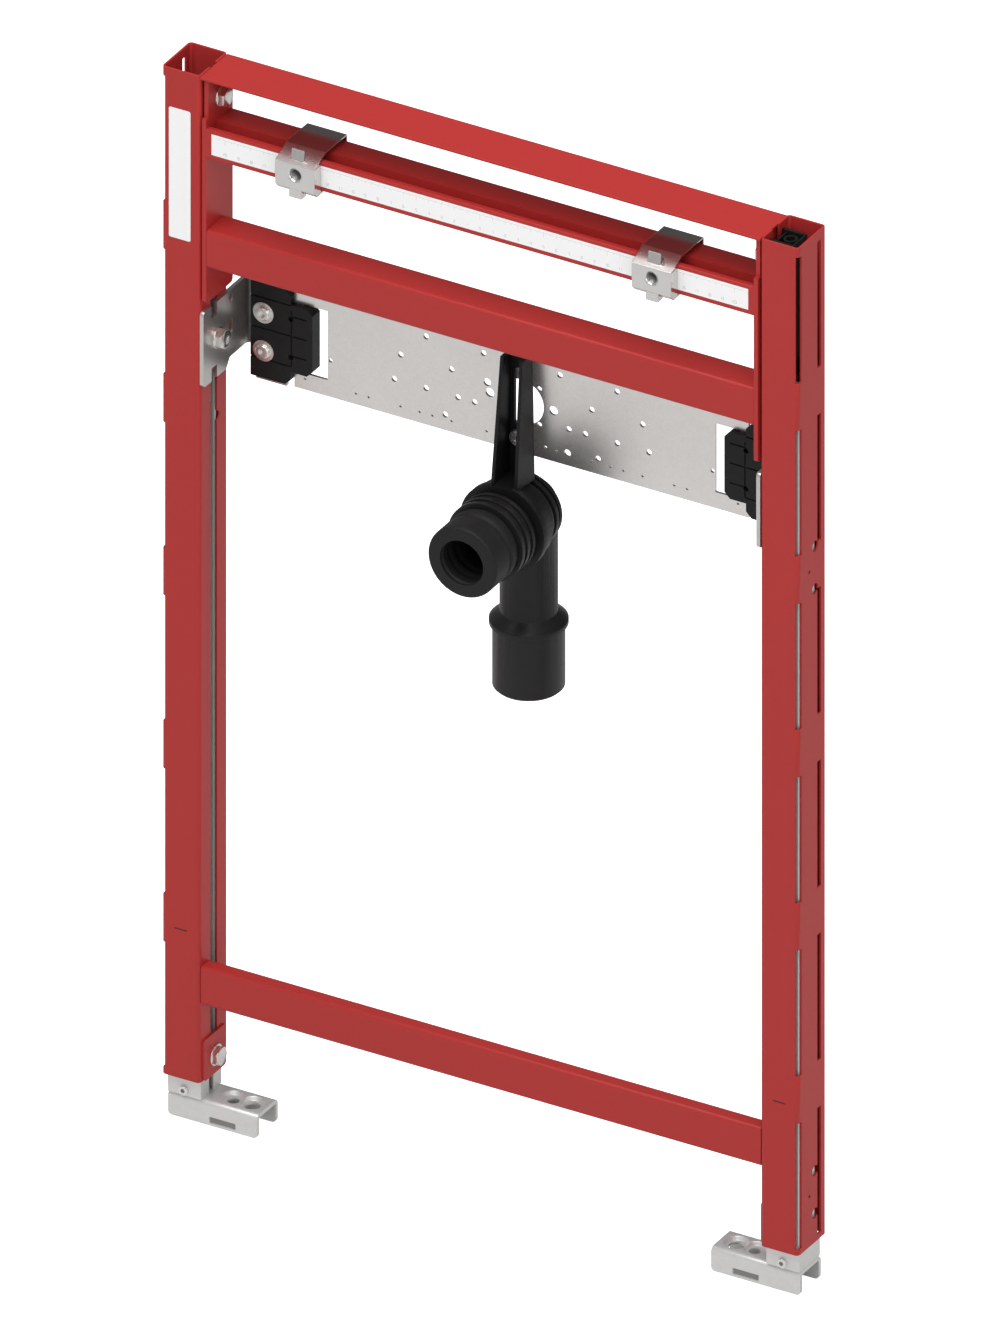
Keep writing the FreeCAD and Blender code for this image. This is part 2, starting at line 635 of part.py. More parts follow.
def legs():
    """Telescopic channel inside the upright, with a box at its lower end that meets the foot."""
    low = dim.channel_centre - dim.channel_width / 2
    high = dim.channel_centre + dim.channel_width / 2
    left = dim.upright_wall + dim.leg_play
    right = inner_face - dim.upright_wall - dim.leg_play
    front, back, wall = dim.leg_front, dim.leg_front + dim.leg_depth, dim.leg_wall
    outline = [
        (left, front), (right, front), (right, low), (right - wall, low), (right - wall, front + wall),
        (left + wall, front + wall), (left + wall, back - wall), (right - wall, back - wall),
        (right - wall, high), (right, high), (right, back), (left, back),
    ]
    top = guide_bottom - dim.stub_gap
    channel = profile("leg_channel", "XY", [outline], dim.foot_height, top - dim.foot_height)
    round_edges(channel, "leg_corners", wall, "z", [outline[0], outline[1], outline[10], outline[11]])
    box_top = dim.upright_bottom - dim.stub_gap
    stub_back = front + dim.stub_depth
    stub = box("stub", (left, front, dim.foot_height), (right, stub_back, box_top))
    hollow = box("stub_hollow", (left + wall, front + wall, dim.foot_height),
                 (right - wall, stub_back - wall, box_top))
    slot = box("stub_slot_cut",
               (right - wall, dim.channel_centre - dim.stub_slot / 2, dim.foot_height),
               (right, dim.channel_centre + dim.stub_slot / 2, box_top))
    middle = dim.upright_width / 2
    height = dim.foot_height + dim.foot_screw_lift
    screw_hole = rod("foot_screw_hole", dim.foot_screw_radius / 2, wall, (middle, front, height), Y)
    shell = fuse("leg_shell", channel, cut("stub_box", stub, hollow, slot))
    keep_pair("leg", cut("leg", shell, screw_hole))
    head = rod("foot_screw_head", dim.foot_screw_radius, dim.foot_screw_height,
               (middle, front - dim.foot_screw_height, height), Y)
    shank = rod("foot_screw_shank", dim.foot_screw_radius / 2, wall, (middle, front, height), Y)
    keep_pair("foot_screw", fuse("foot_screw", head, shank))


def foot_plates():
    """Inverted sheet channel with two drawn dishes round its anchor holes, open below."""
    front, back = dim.foot_front, dim.foot_front + dim.foot_depth
    sheet_, top = dim.foot_sheet, dim.foot_height
    start, end = dim.foot_inset, dim.foot_inset + dim.foot_length
    floor = ZERO
    outline = [
        (front, floor), (front + sheet_, floor), (front + sheet_, top - sheet_),
        (back - sheet_, top - sheet_), (back - sheet_, floor), (back, floor), (back, top), (front, top),
    ]
    body = profile("foot_channel", "YZ", [outline], start, dim.foot_length)
    round_edges(body, "foot_bends", dim.foot_bend, "x", [outline[6], outline[7]])
    round_edges(body, "foot_inner_bends", dim.foot_bend - sheet_, "x", [outline[2], outline[3]])
    round_edges(body, "foot_ends", dim.foot_corner, "y", [(start, floor), (end, floor)])
    middle = dim.foot_front + dim.foot_depth / 2
    dish_floor = top - dim.dish_depth
    dish_bottom = dish_floor - dim.dish_sheet
    drawn, tools = [body], []
    for name, offset, radius in (("anchor", dim.anchor_offset, dim.anchor_radius),
                                 ("spare", dim.spare_offset, dim.spare_radius)):
        across = start + offset
        drawn.append(cone(name + "_dish_wall", dim.dish_radius - dim.dish_flare, dim.dish_radius,
                          top - sheet_ - dish_bottom, (across, middle, dish_bottom)))
        tools.append(cone(name + "_dish", dim.dish_radius - dim.dish_flare, dim.dish_radius,
                          dim.dish_depth, (across, middle, dish_floor)))
        tools.append(rod(name + "_hole", radius, dim.dish_sheet, (across, middle, dish_bottom)))
    tools.append(rod("edge_notch", dim.edge_notch_radius, sheet_,
                     (start + dim.edge_notch_offset, back, top - sheet_)))
    stamp_end = end - dim.stamp_start
    tools.append(box("stamp_recess", (stamp_end - dim.stamp_length, front, dim.stamp_low),
                     (stamp_end, front + dim.stamp_depth, dim.stamp_low + dim.stamp_height)))
    keep_pair("foot_plate", cut("foot_plate", fuse("drawn_foot", *drawn), *tools))


def channel_bolt(name, seat, nut_seat, height, spacer=None):
    """Hexagon bolt with a washer on its seat and a flat nut inside the upright."""
    depth = dim.channel_centre
    head = hexagon(name + "_head", dim.head_across, dim.head_height,
                   (seat + dim.washer_sheet, depth, height))
    washer = rod(name + "_washer", dim.washer_radius, dim.washer_sheet, (seat, depth, height), X)
    tip = nut_seat - dim.nut_thickness - dim.bolt_tail
    shank = rod(name + "_shank", dim.bolt_radius, seat - tip, (tip, depth, height), X)
    nut = box(name + "_nut",
              (nut_seat - dim.nut_thickness, depth - dim.nut_width / 2, height - dim.nut_length / 2),
              (nut_seat, depth + dim.nut_width / 2, height + dim.nut_length / 2))
    solids = [head, washer, shank, nut]
    if spacer is not None:
        solids.append(rod(name + "_spacer", dim.washer_radius, spacer, (inner_face, depth, height), X))
    return fuse(name, *solids)


def bolted_plate(name, outline, start, thickness, bolt_height, corners):
    """Flat plate in the YZ plane with rounded corners and a hole on the bolt channel."""
    body = profile(name, "YZ", [outline], start, thickness)
    round_edges(body, name + "_corners", dim.plate_radius, "x", [outline[index] for index in corners])
    pocket(body, name + "_hole", "YZ",
           circles([(dim.bolt_radius + dim.bolt_hole_play, dim.channel_centre, bolt_height)]))
    return body


def lock_plates():
    """Plates that hold the legs at their height, with their bolts."""
    bottom = dim.upright_bottom
    outline = rectangle(dim.lock_setback, dim.lock_setback + dim.lock_depth,
                        bottom, bottom + dim.lock_height)
    height = bottom + dim.lock_bolt_height
    keep_pair("lock_plate", bolted_plate("lock_plate", outline, inner_face, dim.lock_sheet, height,
                                         (0, 1, 2, 3)))
    inside = inner_face - dim.upright_wall - dim.leg_play - dim.leg_wall - dim.nut_play
    keep_pair("lock_bolt", channel_bolt("lock_bolt", inner_face + dim.lock_sheet, inside, height))


def upper_bridge():
    """Top crossbar, side plates, middle crossbar and their bolts."""
    top = crossbar_top
    depth, sheet_ = dim.upright_depth, dim.bar_sheet
    front = ZERO
    angle = [(front, top - sheet_), (depth - sheet_, top - sheet_), (depth - sheet_, top - dim.top_web),
             (depth, top - dim.top_web), (depth, top), (front, top)]
    bar = profile("top_bar", "YZ", [angle], inner_face, bar_span)
    round_edges(bar, "top_bar_bend", dim.top_bend, "x", [angle[4]])
    keep("top_crossbar", bar)

    side = inner_face + dim.side_gap
    back = depth - sheet_
    step = side_top - dim.side_step_length
    outline = [(front, side_bottom), (back, side_bottom), (back, side_top),
               (dim.side_step, side_top), (dim.side_step, step), (front, step)]
    keep_pair("side_plate", bolted_plate("side_plate", outline, side, dim.side_sheet,
                                         top_bolt_height, (0, 1)))
    face = side + dim.side_sheet
    keep_pair("top_bolt", channel_bolt("top_bolt", face, inner_face - dim.upright_wall,
                                       top_bolt_height, dim.side_gap))

    span = dim.frame_width - 2 * face
    middle_top = middle_bottom + dim.middle_height
    tube = [rectangle(front, dim.middle_depth, middle_bottom, middle_top),
            rectangle(front + sheet_, dim.middle_depth - sheet_, middle_bottom + sheet_,
                      middle_top - sheet_)]
    middle = profile("middle_bar", "YZ", tube, face, span)
    round_edges(middle, "middle_bar_edges", dim.bar_radius, "x", tube[0])
    keep("middle_crossbar", middle)

    bottom = rail_bottom
    lip, wall = dim.rail_lip, dim.rail_wall
    groove_floor = rail_top - dim.rail_groove_depth
    outer = [(front, bottom), (dim.rail_depth, bottom), (dim.rail_depth, rail_top),
             (lip + dim.rail_groove, rail_top), (lip + dim.rail_groove, groove_floor),
             (lip, groove_floor), (lip, rail_top), (front, rail_top)]
    hollow = [(front + wall, bottom + wall), (dim.rail_depth - wall, bottom + wall),
              (dim.rail_depth - wall, rail_top - wall), (lip + dim.rail_groove + wall, rail_top - wall),
              (lip + dim.rail_groove + wall, groove_floor - wall), (front + wall, groove_floor - wall)]
    rail = profile("rail", "YZ", [outer, hollow], face, span)
    round_edges(rail, "rail_edges", dim.rail_radius, "x", [outer[0], outer[1], outer[2], outer[7]])
    keep("washbasin_rail", rail)


def lower_crossbar():
    """Flat tube welded between the uprights near the floor."""
    front, back = dim.lower_setback, dim.lower_setback + dim.lower_depth
    bottom, top, sheet_ = lower_bottom, lower_bottom + dim.lower_height, dim.bar_sheet
    tube = [rectangle(front, back, bottom, top),
            rectangle(front + sheet_, back - sheet_, bottom + sheet_, top - sheet_)]
    bar = profile("lower_bar", "YZ", tube, inner_face, bar_span)
    round_edges(bar, "lower_bar_edges", dim.bar_radius, "x", tube[0])
    keep("lower_crossbar", bar)


def upper_guides():
    """Plastic channels inside the uprights' upper ends, open towards the bolt channel."""
    right = inner_face - dim.upright_wall
    left = right - dim.guide_width
    front = dim.channel_centre - dim.guide_depth / 2
    back, wall = front + dim.guide_depth, dim.guide_wall
    outline = [(left, front), (right, front), (right, front + wall), (left + wall, front + wall),
               (left + wall, back - wall), (right, back - wall), (right, back), (left, back)]
    for side, length in (("left", dim.guide_length - dim.left_guide_cut), ("right", dim.guide_length)):
        body = profile(side + "_guide", "XY", [outline], guide_bottom, length)
        round_edges(body, side + "_guide_corners", dim.guide_radius, "z", [outline[0], outline[7]])
        if side == "left":
            keep("left_upper_guide", body)
        else:
            keep_mirrored("right_upper_guide", body)


def carriers():
    """Angle brackets on the uprights, with their bolts, that carry the mounting plate."""
    front = ZERO
    sheet_ = dim.carrier_sheet
    bottom, top, low = carrier_bottom, carrier_top, carrier_arm_bottom
    bend_start = dim.carrier_reach - sheet_ - dim.carrier_bend - dim.carrier_bend_lead
    bend_end = inner_face + sheet_ + dim.carrier_bend + dim.carrier_bend_lead
    outline = [
        (front, bottom), (dim.carrier_front_depth - dim.carrier_chamfer, bottom),
        (dim.carrier_front_depth, low), (bend_start, low), (bend_start, top), (front, top),
    ]
    height = carrier_bolt_height
    side = bolted_plate("carrier_side", outline, inner_face, sheet_, height, (0, 5))
    corner = [
        (inner_face, bend_start), (inner_face + sheet_, bend_start),
        (inner_face + sheet_, dim.carrier_reach - sheet_), (bend_end, dim.carrier_reach - sheet_),
        (bend_end, dim.carrier_reach), (inner_face, dim.carrier_reach),
    ]
    bend = profile("carrier_bend", "XY", [corner], low, top - low)
    round_edges(bend, "carrier_inner_bend", dim.carrier_bend, "z", [corner[2]])
    round_edges(bend, "carrier_outer_bend", dim.carrier_bend + sheet_, "z", [corner[5]])
    flange_end = inner_face + sheet_ + dim.carrier_flange_width
    flange = box("carrier_flange",
                 (bend_end, dim.carrier_reach - sheet_, flange_bottom),
                 (flange_end, dim.carrier_reach, flange_bottom + dim.carrier_flange_height))
    screw_line = holder_left + dim.holder_screw_inset
    holes = [rod(f"carrier_tap_{index}", dim.screw_shank_radius, sheet_,
                 (screw_line, dim.carrier_reach - sheet_, screw_height), Y)
             for index, screw_height in enumerate(screw_heights)]
    slot_radius = dim.carrier_slot_width / 2
    for name, length, middle in (("carrier_slot", dim.carrier_slot_length, height),
                                 ("carrier_top_slot", dim.carrier_top_slot_length,
                                  top - dim.carrier_top_slot_drop)):
        holes.append(long_hole(name, slot_radius, length, sheet_,
                               (inner_face, dim.carrier_slot_depth, middle), X))
    for name, start, end in (("low_notch", bottom, bottom + dim.carrier_notch_height),
                             ("high_notch", top - dim.carrier_notch_height, top)):
        holes.append(box(name, (inner_face, dim.carrier_notch_start, start),
                         (inner_face + sheet_, dim.carrier_notch_start + dim.carrier_notch_width, end)))
    keep_pair("carrier_bracket", cut("carrier", fuse("carrier_angle", side, bend, flange), *holes))
    inside = inner_face - dim.upright_wall - dim.leg_play - dim.leg_wall - dim.nut_play
    keep_pair("carrier_bolt", channel_bolt("carrier_bolt", inner_face + sheet_, inside, height))


def plate_holders():
    """Plastic blocks on the carrier flanges, with a tongue that grips the plate's end strip."""
    back = dim.carrier_reach - dim.carrier_sheet
    front = dim.holder_front
    top = holder_bottom + dim.holder_height
    chamfer = dim.holder_chamfer
    outline = [(holder_left, holder_bottom), (holder_right - chamfer, holder_bottom),
               (holder_right, holder_bottom + chamfer), (holder_right, top - chamfer),
               (holder_right - chamfer, top), (holder_left, top)]
    body = profile("holder_body", "XZ", [outline], -back, back - front)
    tongue_low = panel_centre - dim.holder_tongue_height / 2
    tongue_high = tongue_low + dim.holder_tongue_height
    tongue_end = holder_right + dim.holder_tongue
    grip = dim.panel_front - dim.holder_play
    solids = [body]
    for name, start, near, far in (
            ("tongue_lip", holder_right, front, grip),
            ("tongue_hook", panel_left + dim.panel_end_strip + dim.holder_play, grip,
             panel_back + dim.holder_hook)):
        end_outline = [(start, tongue_low), (tongue_end - chamfer, tongue_low),
                       (tongue_end, tongue_low + chamfer), (tongue_end, tongue_high - chamfer),
                       (tongue_end - chamfer, tongue_high), (start, tongue_high)]
        solids.append(profile(name, "XZ", [end_outline], -far, far - near))
    screw_line = holder_left + dim.holder_screw_inset
    bore = dim.screw_shank_radius + dim.screw_play
    tools = [rod(f"holder_bore_{index}", bore, back - front, (screw_line, front, height), Y)
             for index, height in enumerate(screw_heights)]
    tools += [rod(f"holder_pin_{index}", dim.pin_hole_radius, dim.pin_hole_depth,
                  (holder_right, front, height), Y)
              for index, height in enumerate(screw_heights)]
    groove, depth = dim.holder_groove_width, dim.holder_groove_depth
    for index in (-1, 0, 1):
        row = panel_centre + dim.holder_groove_rise + index * dim.holder_groove_pitch
        tools.append(box("body_groove", (holder_left, front, row),
                         (holder_right, front + depth, row + groove)))
        row = panel_centre + dim.holder_groove_rise + index * dim.tongue_groove_pitch
        tools.append(box("tongue_groove", (holder_right, front, row),
                         (tongue_end - chamfer, front + depth, row + groove)))
    tools.append(box("holder_seam", (holder_right, front, tongue_low + chamfer),
                     (holder_right + groove, front + depth, tongue_high - chamfer)))
    keep_pair("plate_holder", cut("plate_holder", fuse("holder_with_tongue", *solids), *tools))
    screws = []
    for index, height in enumerate(screw_heights):
        crown_front = front - dim.screw_flange - dim.screw_crown
        outside = turned(f"screw_{index}_outside",
                         [(dim.screw_crown_radius - dim.screw_edge, dim.screw_crown_radius, dim.screw_edge),
                          (dim.screw_crown_radius, dim.screw_crown_radius, dim.screw_crown - dim.screw_edge),
                          (dim.holder_screw_radius, dim.holder_screw_radius, dim.screw_flange),
                          (dim.screw_shank_radius, dim.screw_shank_radius, dim.carrier_reach - front)],
                         (screw_line, crown_front, height), Y)
        key = hexagon(f"screw_{index}_key", dim.key_across, dim.key_depth,
                      (screw_line, crown_front, height), Y)
        screws.append(cut(f"screw_{index}", outside, key))
    pair = doc.addObject("Part::Compound", "holder_screws")
    pair.Links = screws
    keep_pair("holder_screws", pair)


def mounting_plate():
    """Perforated plate between the holders, with a window at each end."""
    right = dim.frame_width - panel_left
    plate = box("panel", (panel_left, dim.panel_front, panel_bottom),
                (right, panel_back, panel_bottom + dim.panel_height))
    window_low = panel_centre - dim.panel_window_height / 2
    window_high = window_low + dim.panel_window_height
    tools = []
    for name, start in (("left_window", panel_left + dim.panel_end_strip),
                        ("right_window", right - dim.panel_end_strip - dim.panel_window_width)):
        tools.append(box(name, (start, dim.panel_front, window_low),
                         (start + dim.panel_window_width, panel_back, window_high)))
    tools.append(rod("centre_hole", dim.panel_centre_hole, dim.panel_sheet,
                     (centre, dim.panel_front, panel_centre), Y))
    for radius, up, offsets in PANEL_ROWS:
        for across in offsets:
            for side in (-1, 1):
                tools.append(rod("plate_hole", radius, dim.panel_sheet,
                                 (centre + side * across, dim.panel_front, panel_centre + up), Y))
    for radius, across, up in PANEL_HOLES:
        tools.append(rod("single_hole", radius, dim.panel_sheet,
                         (centre + across, dim.panel_front, panel_centre + up), Y))
    keep("mounting_plate", cut("perforated_plate", plate, *tools))


def drain():
    """Drain bend with its rubber nipple, held by a clamp ring on a channel bracket."""
    axis, front = drain_height, dim.mouth_front
    socket = front + dim.nipple_length
    neck = dim.neck_radius
    ring_length = dim.pipe_axis - dim.pipe_radius - dim.ring_play - dim.ring_start
    ridge = dim.socket_length / 5
    across = [(dim.socket_radius - side * dim.socket_groove,) * 2 + (ridge,) for side in (0, 1, 0, 1, 0)]
    across.append((neck, neck, dim.ring_start + ring_length + dim.rib_gap - socket - dim.socket_length))
    for _ in range(2):
        across += [(dim.rib_radius, dim.rib_radius, dim.rib_width), (neck, neck, dim.rib_gap)]
    across += [(dim.rim_radius, dim.rim_radius, dim.rim_width),
               (dim.rim_radius, neck, dim.rim_radius - neck)]
    outlet_low = collar_top - dim.collar_flare - dim.collar_rim - dim.collar_taper
    spigot, pipe, collar = dim.spigot_radius, dim.pipe_radius, dim.collar_radius
    upward = [(spigot - dim.spigot_edge, spigot, dim.spigot_edge),
              (spigot, spigot, outlet_low - dim.spigot_edge - spigot_bottom),
              (spigot, collar, dim.collar_taper), (collar, collar, dim.collar_rim),
              (collar, pipe, dim.collar_flare), (pipe, pipe, axis - collar_top)]
    solids = [turned("bend_across", across, (centre, socket, axis), Y),
              turned("bend_upward", upward, (centre, dim.pipe_axis, spigot_bottom)),
              ball("bend_dome", pipe, (centre, dim.pipe_axis, axis))]
    bore = pipe - dim.pipe_wall
    hollows = [
        rod("neck_bore", neck - dim.pipe_wall, dim.pipe_axis - socket, (centre, socket, axis), Y),
        rod("pipe_bore", bore, axis - spigot_bottom, (centre, dim.pipe_axis, spigot_bottom)),
        rod("spigot_bore", spigot - dim.pipe_wall, outlet_low - spigot_bottom,
            (centre, dim.pipe_axis, spigot_bottom)),
        ball("dome_bore", bore, (centre, dim.pipe_axis, axis)),
    ]
    keep("drain_bend", cut("drain_bend", fuse("bend_outside", *solids), *hollows))

    nipple, tail = dim.nipple_radius, dim.nipple_tail_radius
    straight = dim.nipple_length - dim.nipple_edge - dim.nipple_taper - dim.nipple_tail
    rubber = turned("rubber", [(nipple - dim.nipple_edge, nipple, dim.nipple_edge),
                               (nipple, nipple, straight), (nipple, tail, dim.nipple_taper),
                               (tail, tail, dim.nipple_tail)], (centre, front, axis), Y)
    fold = dim.nipple_length / 8
    folds = [(dim.nipple_bore + side * dim.nipple_fold,) * 2 + (fold,) for side in (0, 1) * 4]
    keep("drain_nipple", cut("drain_nipple", rubber, turned("rubber_bore", folds, (centre, front, axis), Y)))

    web = dim.panel_front
    ring = turned("ring", [(dim.ring_lip_radius, dim.ring_lip_radius, dim.ring_lip_width),
                           (dim.ring_radius, dim.ring_radius, ring_length - dim.ring_lip_width)],
                  (centre, dim.ring_start, axis), Y)
    half, half_top, wall = dim.bracket_width / 2, dim.bracket_top_width / 2, dim.bracket_wall
    foot, top = axis + dim.ring_radius - wall, bracket_top
    slope = [(web - dim.bracket_low_reach, foot), (web, foot), (web, top),
             (web - dim.bracket_high_reach, top)]
    channel = profile("channel", "YZ", [slope], centre - half, dim.bracket_width)
    tools = []
    for side, name in ((-1, "left"), (1, "right")):
        wedge = [(centre + side * half, foot), (centre + side * half, top), (centre + side * half_top, top)]
        tools.append(profile(name + "_taper", "XZ", [wedge], -web, dim.bracket_low_reach))
    inside = [(centre - half + wall, axis + dim.ring_radius), (centre + half - wall, axis + dim.ring_radius),
              (centre + half_top - wall, top), (centre - half_top + wall, top)]
    tools.append(profile("channel_hollow", "XZ", [inside], wall - web, dim.bracket_low_reach))
    tools.append(rod("ring_bore", neck + dim.ring_play, ring_length, (centre, dim.ring_start, axis), Y))
    seat = web - wall
    tools.append(rod("channel_bolt_hole", dim.screw_shank_radius + dim.screw_play, wall,
                     (centre, seat, bracket_bolt_height), Y))
    tools.append(rod("channel_pin_hole", dim.pin_hole_radius, wall,
                     (centre, seat, bracket_bolt_height - dim.bracket_pin_drop), Y))
    tools.append(long_hole("channel_slot", dim.bracket_slot_width / 2, dim.bracket_slot_length, wall,
                           (centre, seat, bracket_slot_height), Y))
    keep("drain_holder", cut("drain_holder", fuse("holder_outside", ring, channel), *tools))
    head = dim.drain_head_height
    outside = turned("drain_bolt",
                     [(dim.head_across / 2 - dim.screw_edge, dim.head_across / 2, dim.screw_edge),
                      (dim.head_across / 2, dim.head_across / 2, head - dim.screw_edge),
                      (dim.screw_shank_radius, dim.screw_shank_radius, wall)],
                     (centre, seat - head, bracket_bolt_height), Y)
    key = hexagon("drain_bolt_key", dim.key_across, dim.key_depth,
                  (centre, seat - head, bracket_bolt_height), Y)
    keep("drain_holder_bolt", cut("drain_holder_bolt", outside, key))


def clamps():
    """Clamps over the washbasin rail, each a bent strap with a gusset and a threaded block."""
    middle = centre - dim.clamp_spacing / 2
    left = middle - dim.clamp_width / 2
    play, sheet_ = dim.clamp_play, dim.clamp_sheet
    under = rail_top + dim.clamp_crown
    top = under + sheet_
    front = -dim.clamp_front
    shoulder = rail_top - dim.clamp_shoulder
    hook = dim.rail_depth + play
    strap = [(front, shoulder), (dim.clamp_slope, top), (hook + sheet_, top),
             (hook + sheet_, rail_top - dim.clamp_hook), (hook, rail_top - dim.clamp_hook), (hook, under),
             (dim.clamp_slope + play, under), (-play, rail_top + play), (-play, shoulder)]
    body = profile("strap", "YZ", [strap], left, dim.clamp_width)
    round_edges(body, "strap_bends", dim.clamp_bend, "x", [strap[1], strap[2]])
    rib_front = front + dim.rib_setback
    rib_outline = [(rib_front, shoulder), (rib_front + dim.rib_lean, shoulder + dim.rib_height),
                   (-play, shoulder + dim.rib_seat), (-play, shoulder)]
    tab_left = middle - dim.tab_width / 2
    gusset = profile("gusset", "YZ", [rib_outline], tab_left, dim.tab_width)
    keep_pair("clamp_strap", fuse("clamp_strap", body, gusset))

    low = rail_bottom + dim.clamp_block_low
    toe_top = rail_bottom - play
    toe_bottom = toe_top - dim.clamp_toe_sheet
    outline = [(front, low), (front + dim.clamp_undercut, toe_bottom), (dim.clamp_toe, toe_bottom),
               (dim.clamp_toe, toe_top), (-play, toe_top), (-play, shoulder), (front, shoulder)]
    block = profile("block", "YZ", [outline], left, dim.clamp_width)
    thread = rail_bottom + dim.thread_height
    bore = rod("thread", dim.thread_radius, dim.clamp_front - play, (middle, front, thread), Y)
    mouth = cone("thread_countersink", dim.thread_mouth, dim.thread_radius,
                 dim.thread_mouth - dim.thread_radius, (middle, front, thread), Y)
    tab_front = front + dim.tab_setback
    tab = box("tab", (tab_left, tab_front, rail_bottom - dim.tab_drop),
              (tab_left + dim.tab_width, tab_front + dim.tab_depth, low))
    keep_pair("clamp_block", cut("clamp_block", fuse("block_and_tab", block, tab), bore, mouth))


for build in (uprights, legs, foot_plates, lock_plates, upper_bridge, lower_crossbar, upper_guides,
              carriers, plate_holders, mounting_plate, drain, clamps):
    build()
doc.recompute()

failed = [item.Name for item in doc.Objects if {"Invalid", "Error"} & set(item.State)]
failed += [piece.Label for piece in PIECES if piece.Shape.isNull() or not piece.Shape.isValid()]
if failed:
    raise RuntimeError("not built: " + ", ".join(failed))

os.makedirs("parts", exist_ok=True)
for piece in PIECES:
    piece.Shape.exportStep(f"parts/{piece.Label}.step")
    box_ = piece.Shape.BoundBox
    print(f"{piece.Label:24s} {len(piece.Shape.Solids)} solid {piece.Shape.Volume:10.0f} mm3  "
          f"x {box_.XMin:7.1f} {box_.XMax:7.1f}  y {box_.YMin:6.1f} {box_.YMax:6.1f}  "
          f"z {box_.ZMin:6.1f} {box_.ZMax:6.1f}")
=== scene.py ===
"""Looks of a washbasin installation frame: powder coated steel, zinc, black plastic and rubber.

Every length is in metres in the part's own frame: +X runs along the frame to the right, +Y points
to the wall and +Z is up. The origin lies on the floor, under the left upright's axis.
"""

import json
import logging
import math
from dataclasses import dataclass, field
from enum import Enum
from typing import Sequence

import bpy
import numpy as np
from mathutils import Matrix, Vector


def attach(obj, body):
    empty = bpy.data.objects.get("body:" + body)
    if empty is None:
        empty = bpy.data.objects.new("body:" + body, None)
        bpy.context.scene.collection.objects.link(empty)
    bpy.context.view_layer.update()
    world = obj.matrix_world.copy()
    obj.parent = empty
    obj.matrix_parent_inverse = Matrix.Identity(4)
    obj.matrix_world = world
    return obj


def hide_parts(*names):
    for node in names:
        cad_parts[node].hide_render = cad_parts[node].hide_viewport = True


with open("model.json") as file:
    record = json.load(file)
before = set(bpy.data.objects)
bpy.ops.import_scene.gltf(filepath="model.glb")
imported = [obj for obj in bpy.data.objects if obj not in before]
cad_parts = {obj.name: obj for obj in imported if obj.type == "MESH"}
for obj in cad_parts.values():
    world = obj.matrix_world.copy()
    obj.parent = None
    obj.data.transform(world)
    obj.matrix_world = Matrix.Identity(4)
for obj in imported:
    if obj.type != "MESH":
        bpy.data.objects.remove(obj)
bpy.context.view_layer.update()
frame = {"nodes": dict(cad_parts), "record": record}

logging.basicConfig(level=logging.INFO, format="%(message)s")
log = logging.getLogger("washbasin_frame")

MM = 0.001
MIDDLE = 0.235  # X of the plane that parts the two halves
AROUND = 96  # points in each ring of a turned form
HEAD_RINGS = 25
SHANK_RINGS = 120
SHARP_ANGLE = math.radians(32.0)
WELD_REACH = 0.01 * MM
EDGE_WIDTH = 0.4 * MM
EDGE_ANGLE = math.radians(40.0)
CROWN_ANGLE = math.radians(30.0)
# Lit strokes of the digits 0 to 9: top, two on the right from above, bottom, two on the left
# from below, middle.
LIT_STROKES = ("1111110", "0110000", "1101101", "1111001", "0110011",
               "1011011", "1011111", "1110000", "1111111", "1111011")
Colour = tuple[float, float, float]
Point = tuple[float, float, float]


class Slot(Enum):
    """Material slots of the part's record."""

    RED = "red_powder_coat"
    ZINC = "galvanised_steel"
    BOLT = "plated_bolts"
    BLACK = "black_plastic"
    DRAIN = "drain_plastic"
    RUBBER = "black_rubber"


class Trim(Enum):
    """Finishes beside those of the slots: printed pieces, sheet of another gloss, and darker copies
    that paint shade.
    """

    PAPER = "white_film"
    INK = "scale_print"
    MARK = "level_print"
    RECESS_SHADE = "painted_recess_shade"
    PLATE = "zinc_plate"
    BRIGHT = "zinc_strap_shaded"
    MATT = "zinc_matt"
    SATIN_SHADED = "zinc_satin"
    SHADED = "zinc_thread_painted_shade"


class Side(Enum):
    """The two mirrored halves of the frame."""

    LEFT = "left"
    RIGHT = "right"

    @property
    def body(self) -> str:
        """Prefix of the names of this side's nodes and bodies."""
        return self.value

    def place(self, points: np.ndarray) -> np.ndarray:
        """Points of the left half, moved to this side.

        Args:
            points: an array of X, Y and Z in the last axis, drawn for the left half.

        Returns:
            The same points, mirrored about the frame's middle plane for the right half.
        """
        if self is Side.LEFT:
            return points
        return points * np.array([-1.0, 1.0, 1.0]) + np.array([2.0 * MIDDLE, 0.0, 0.0])


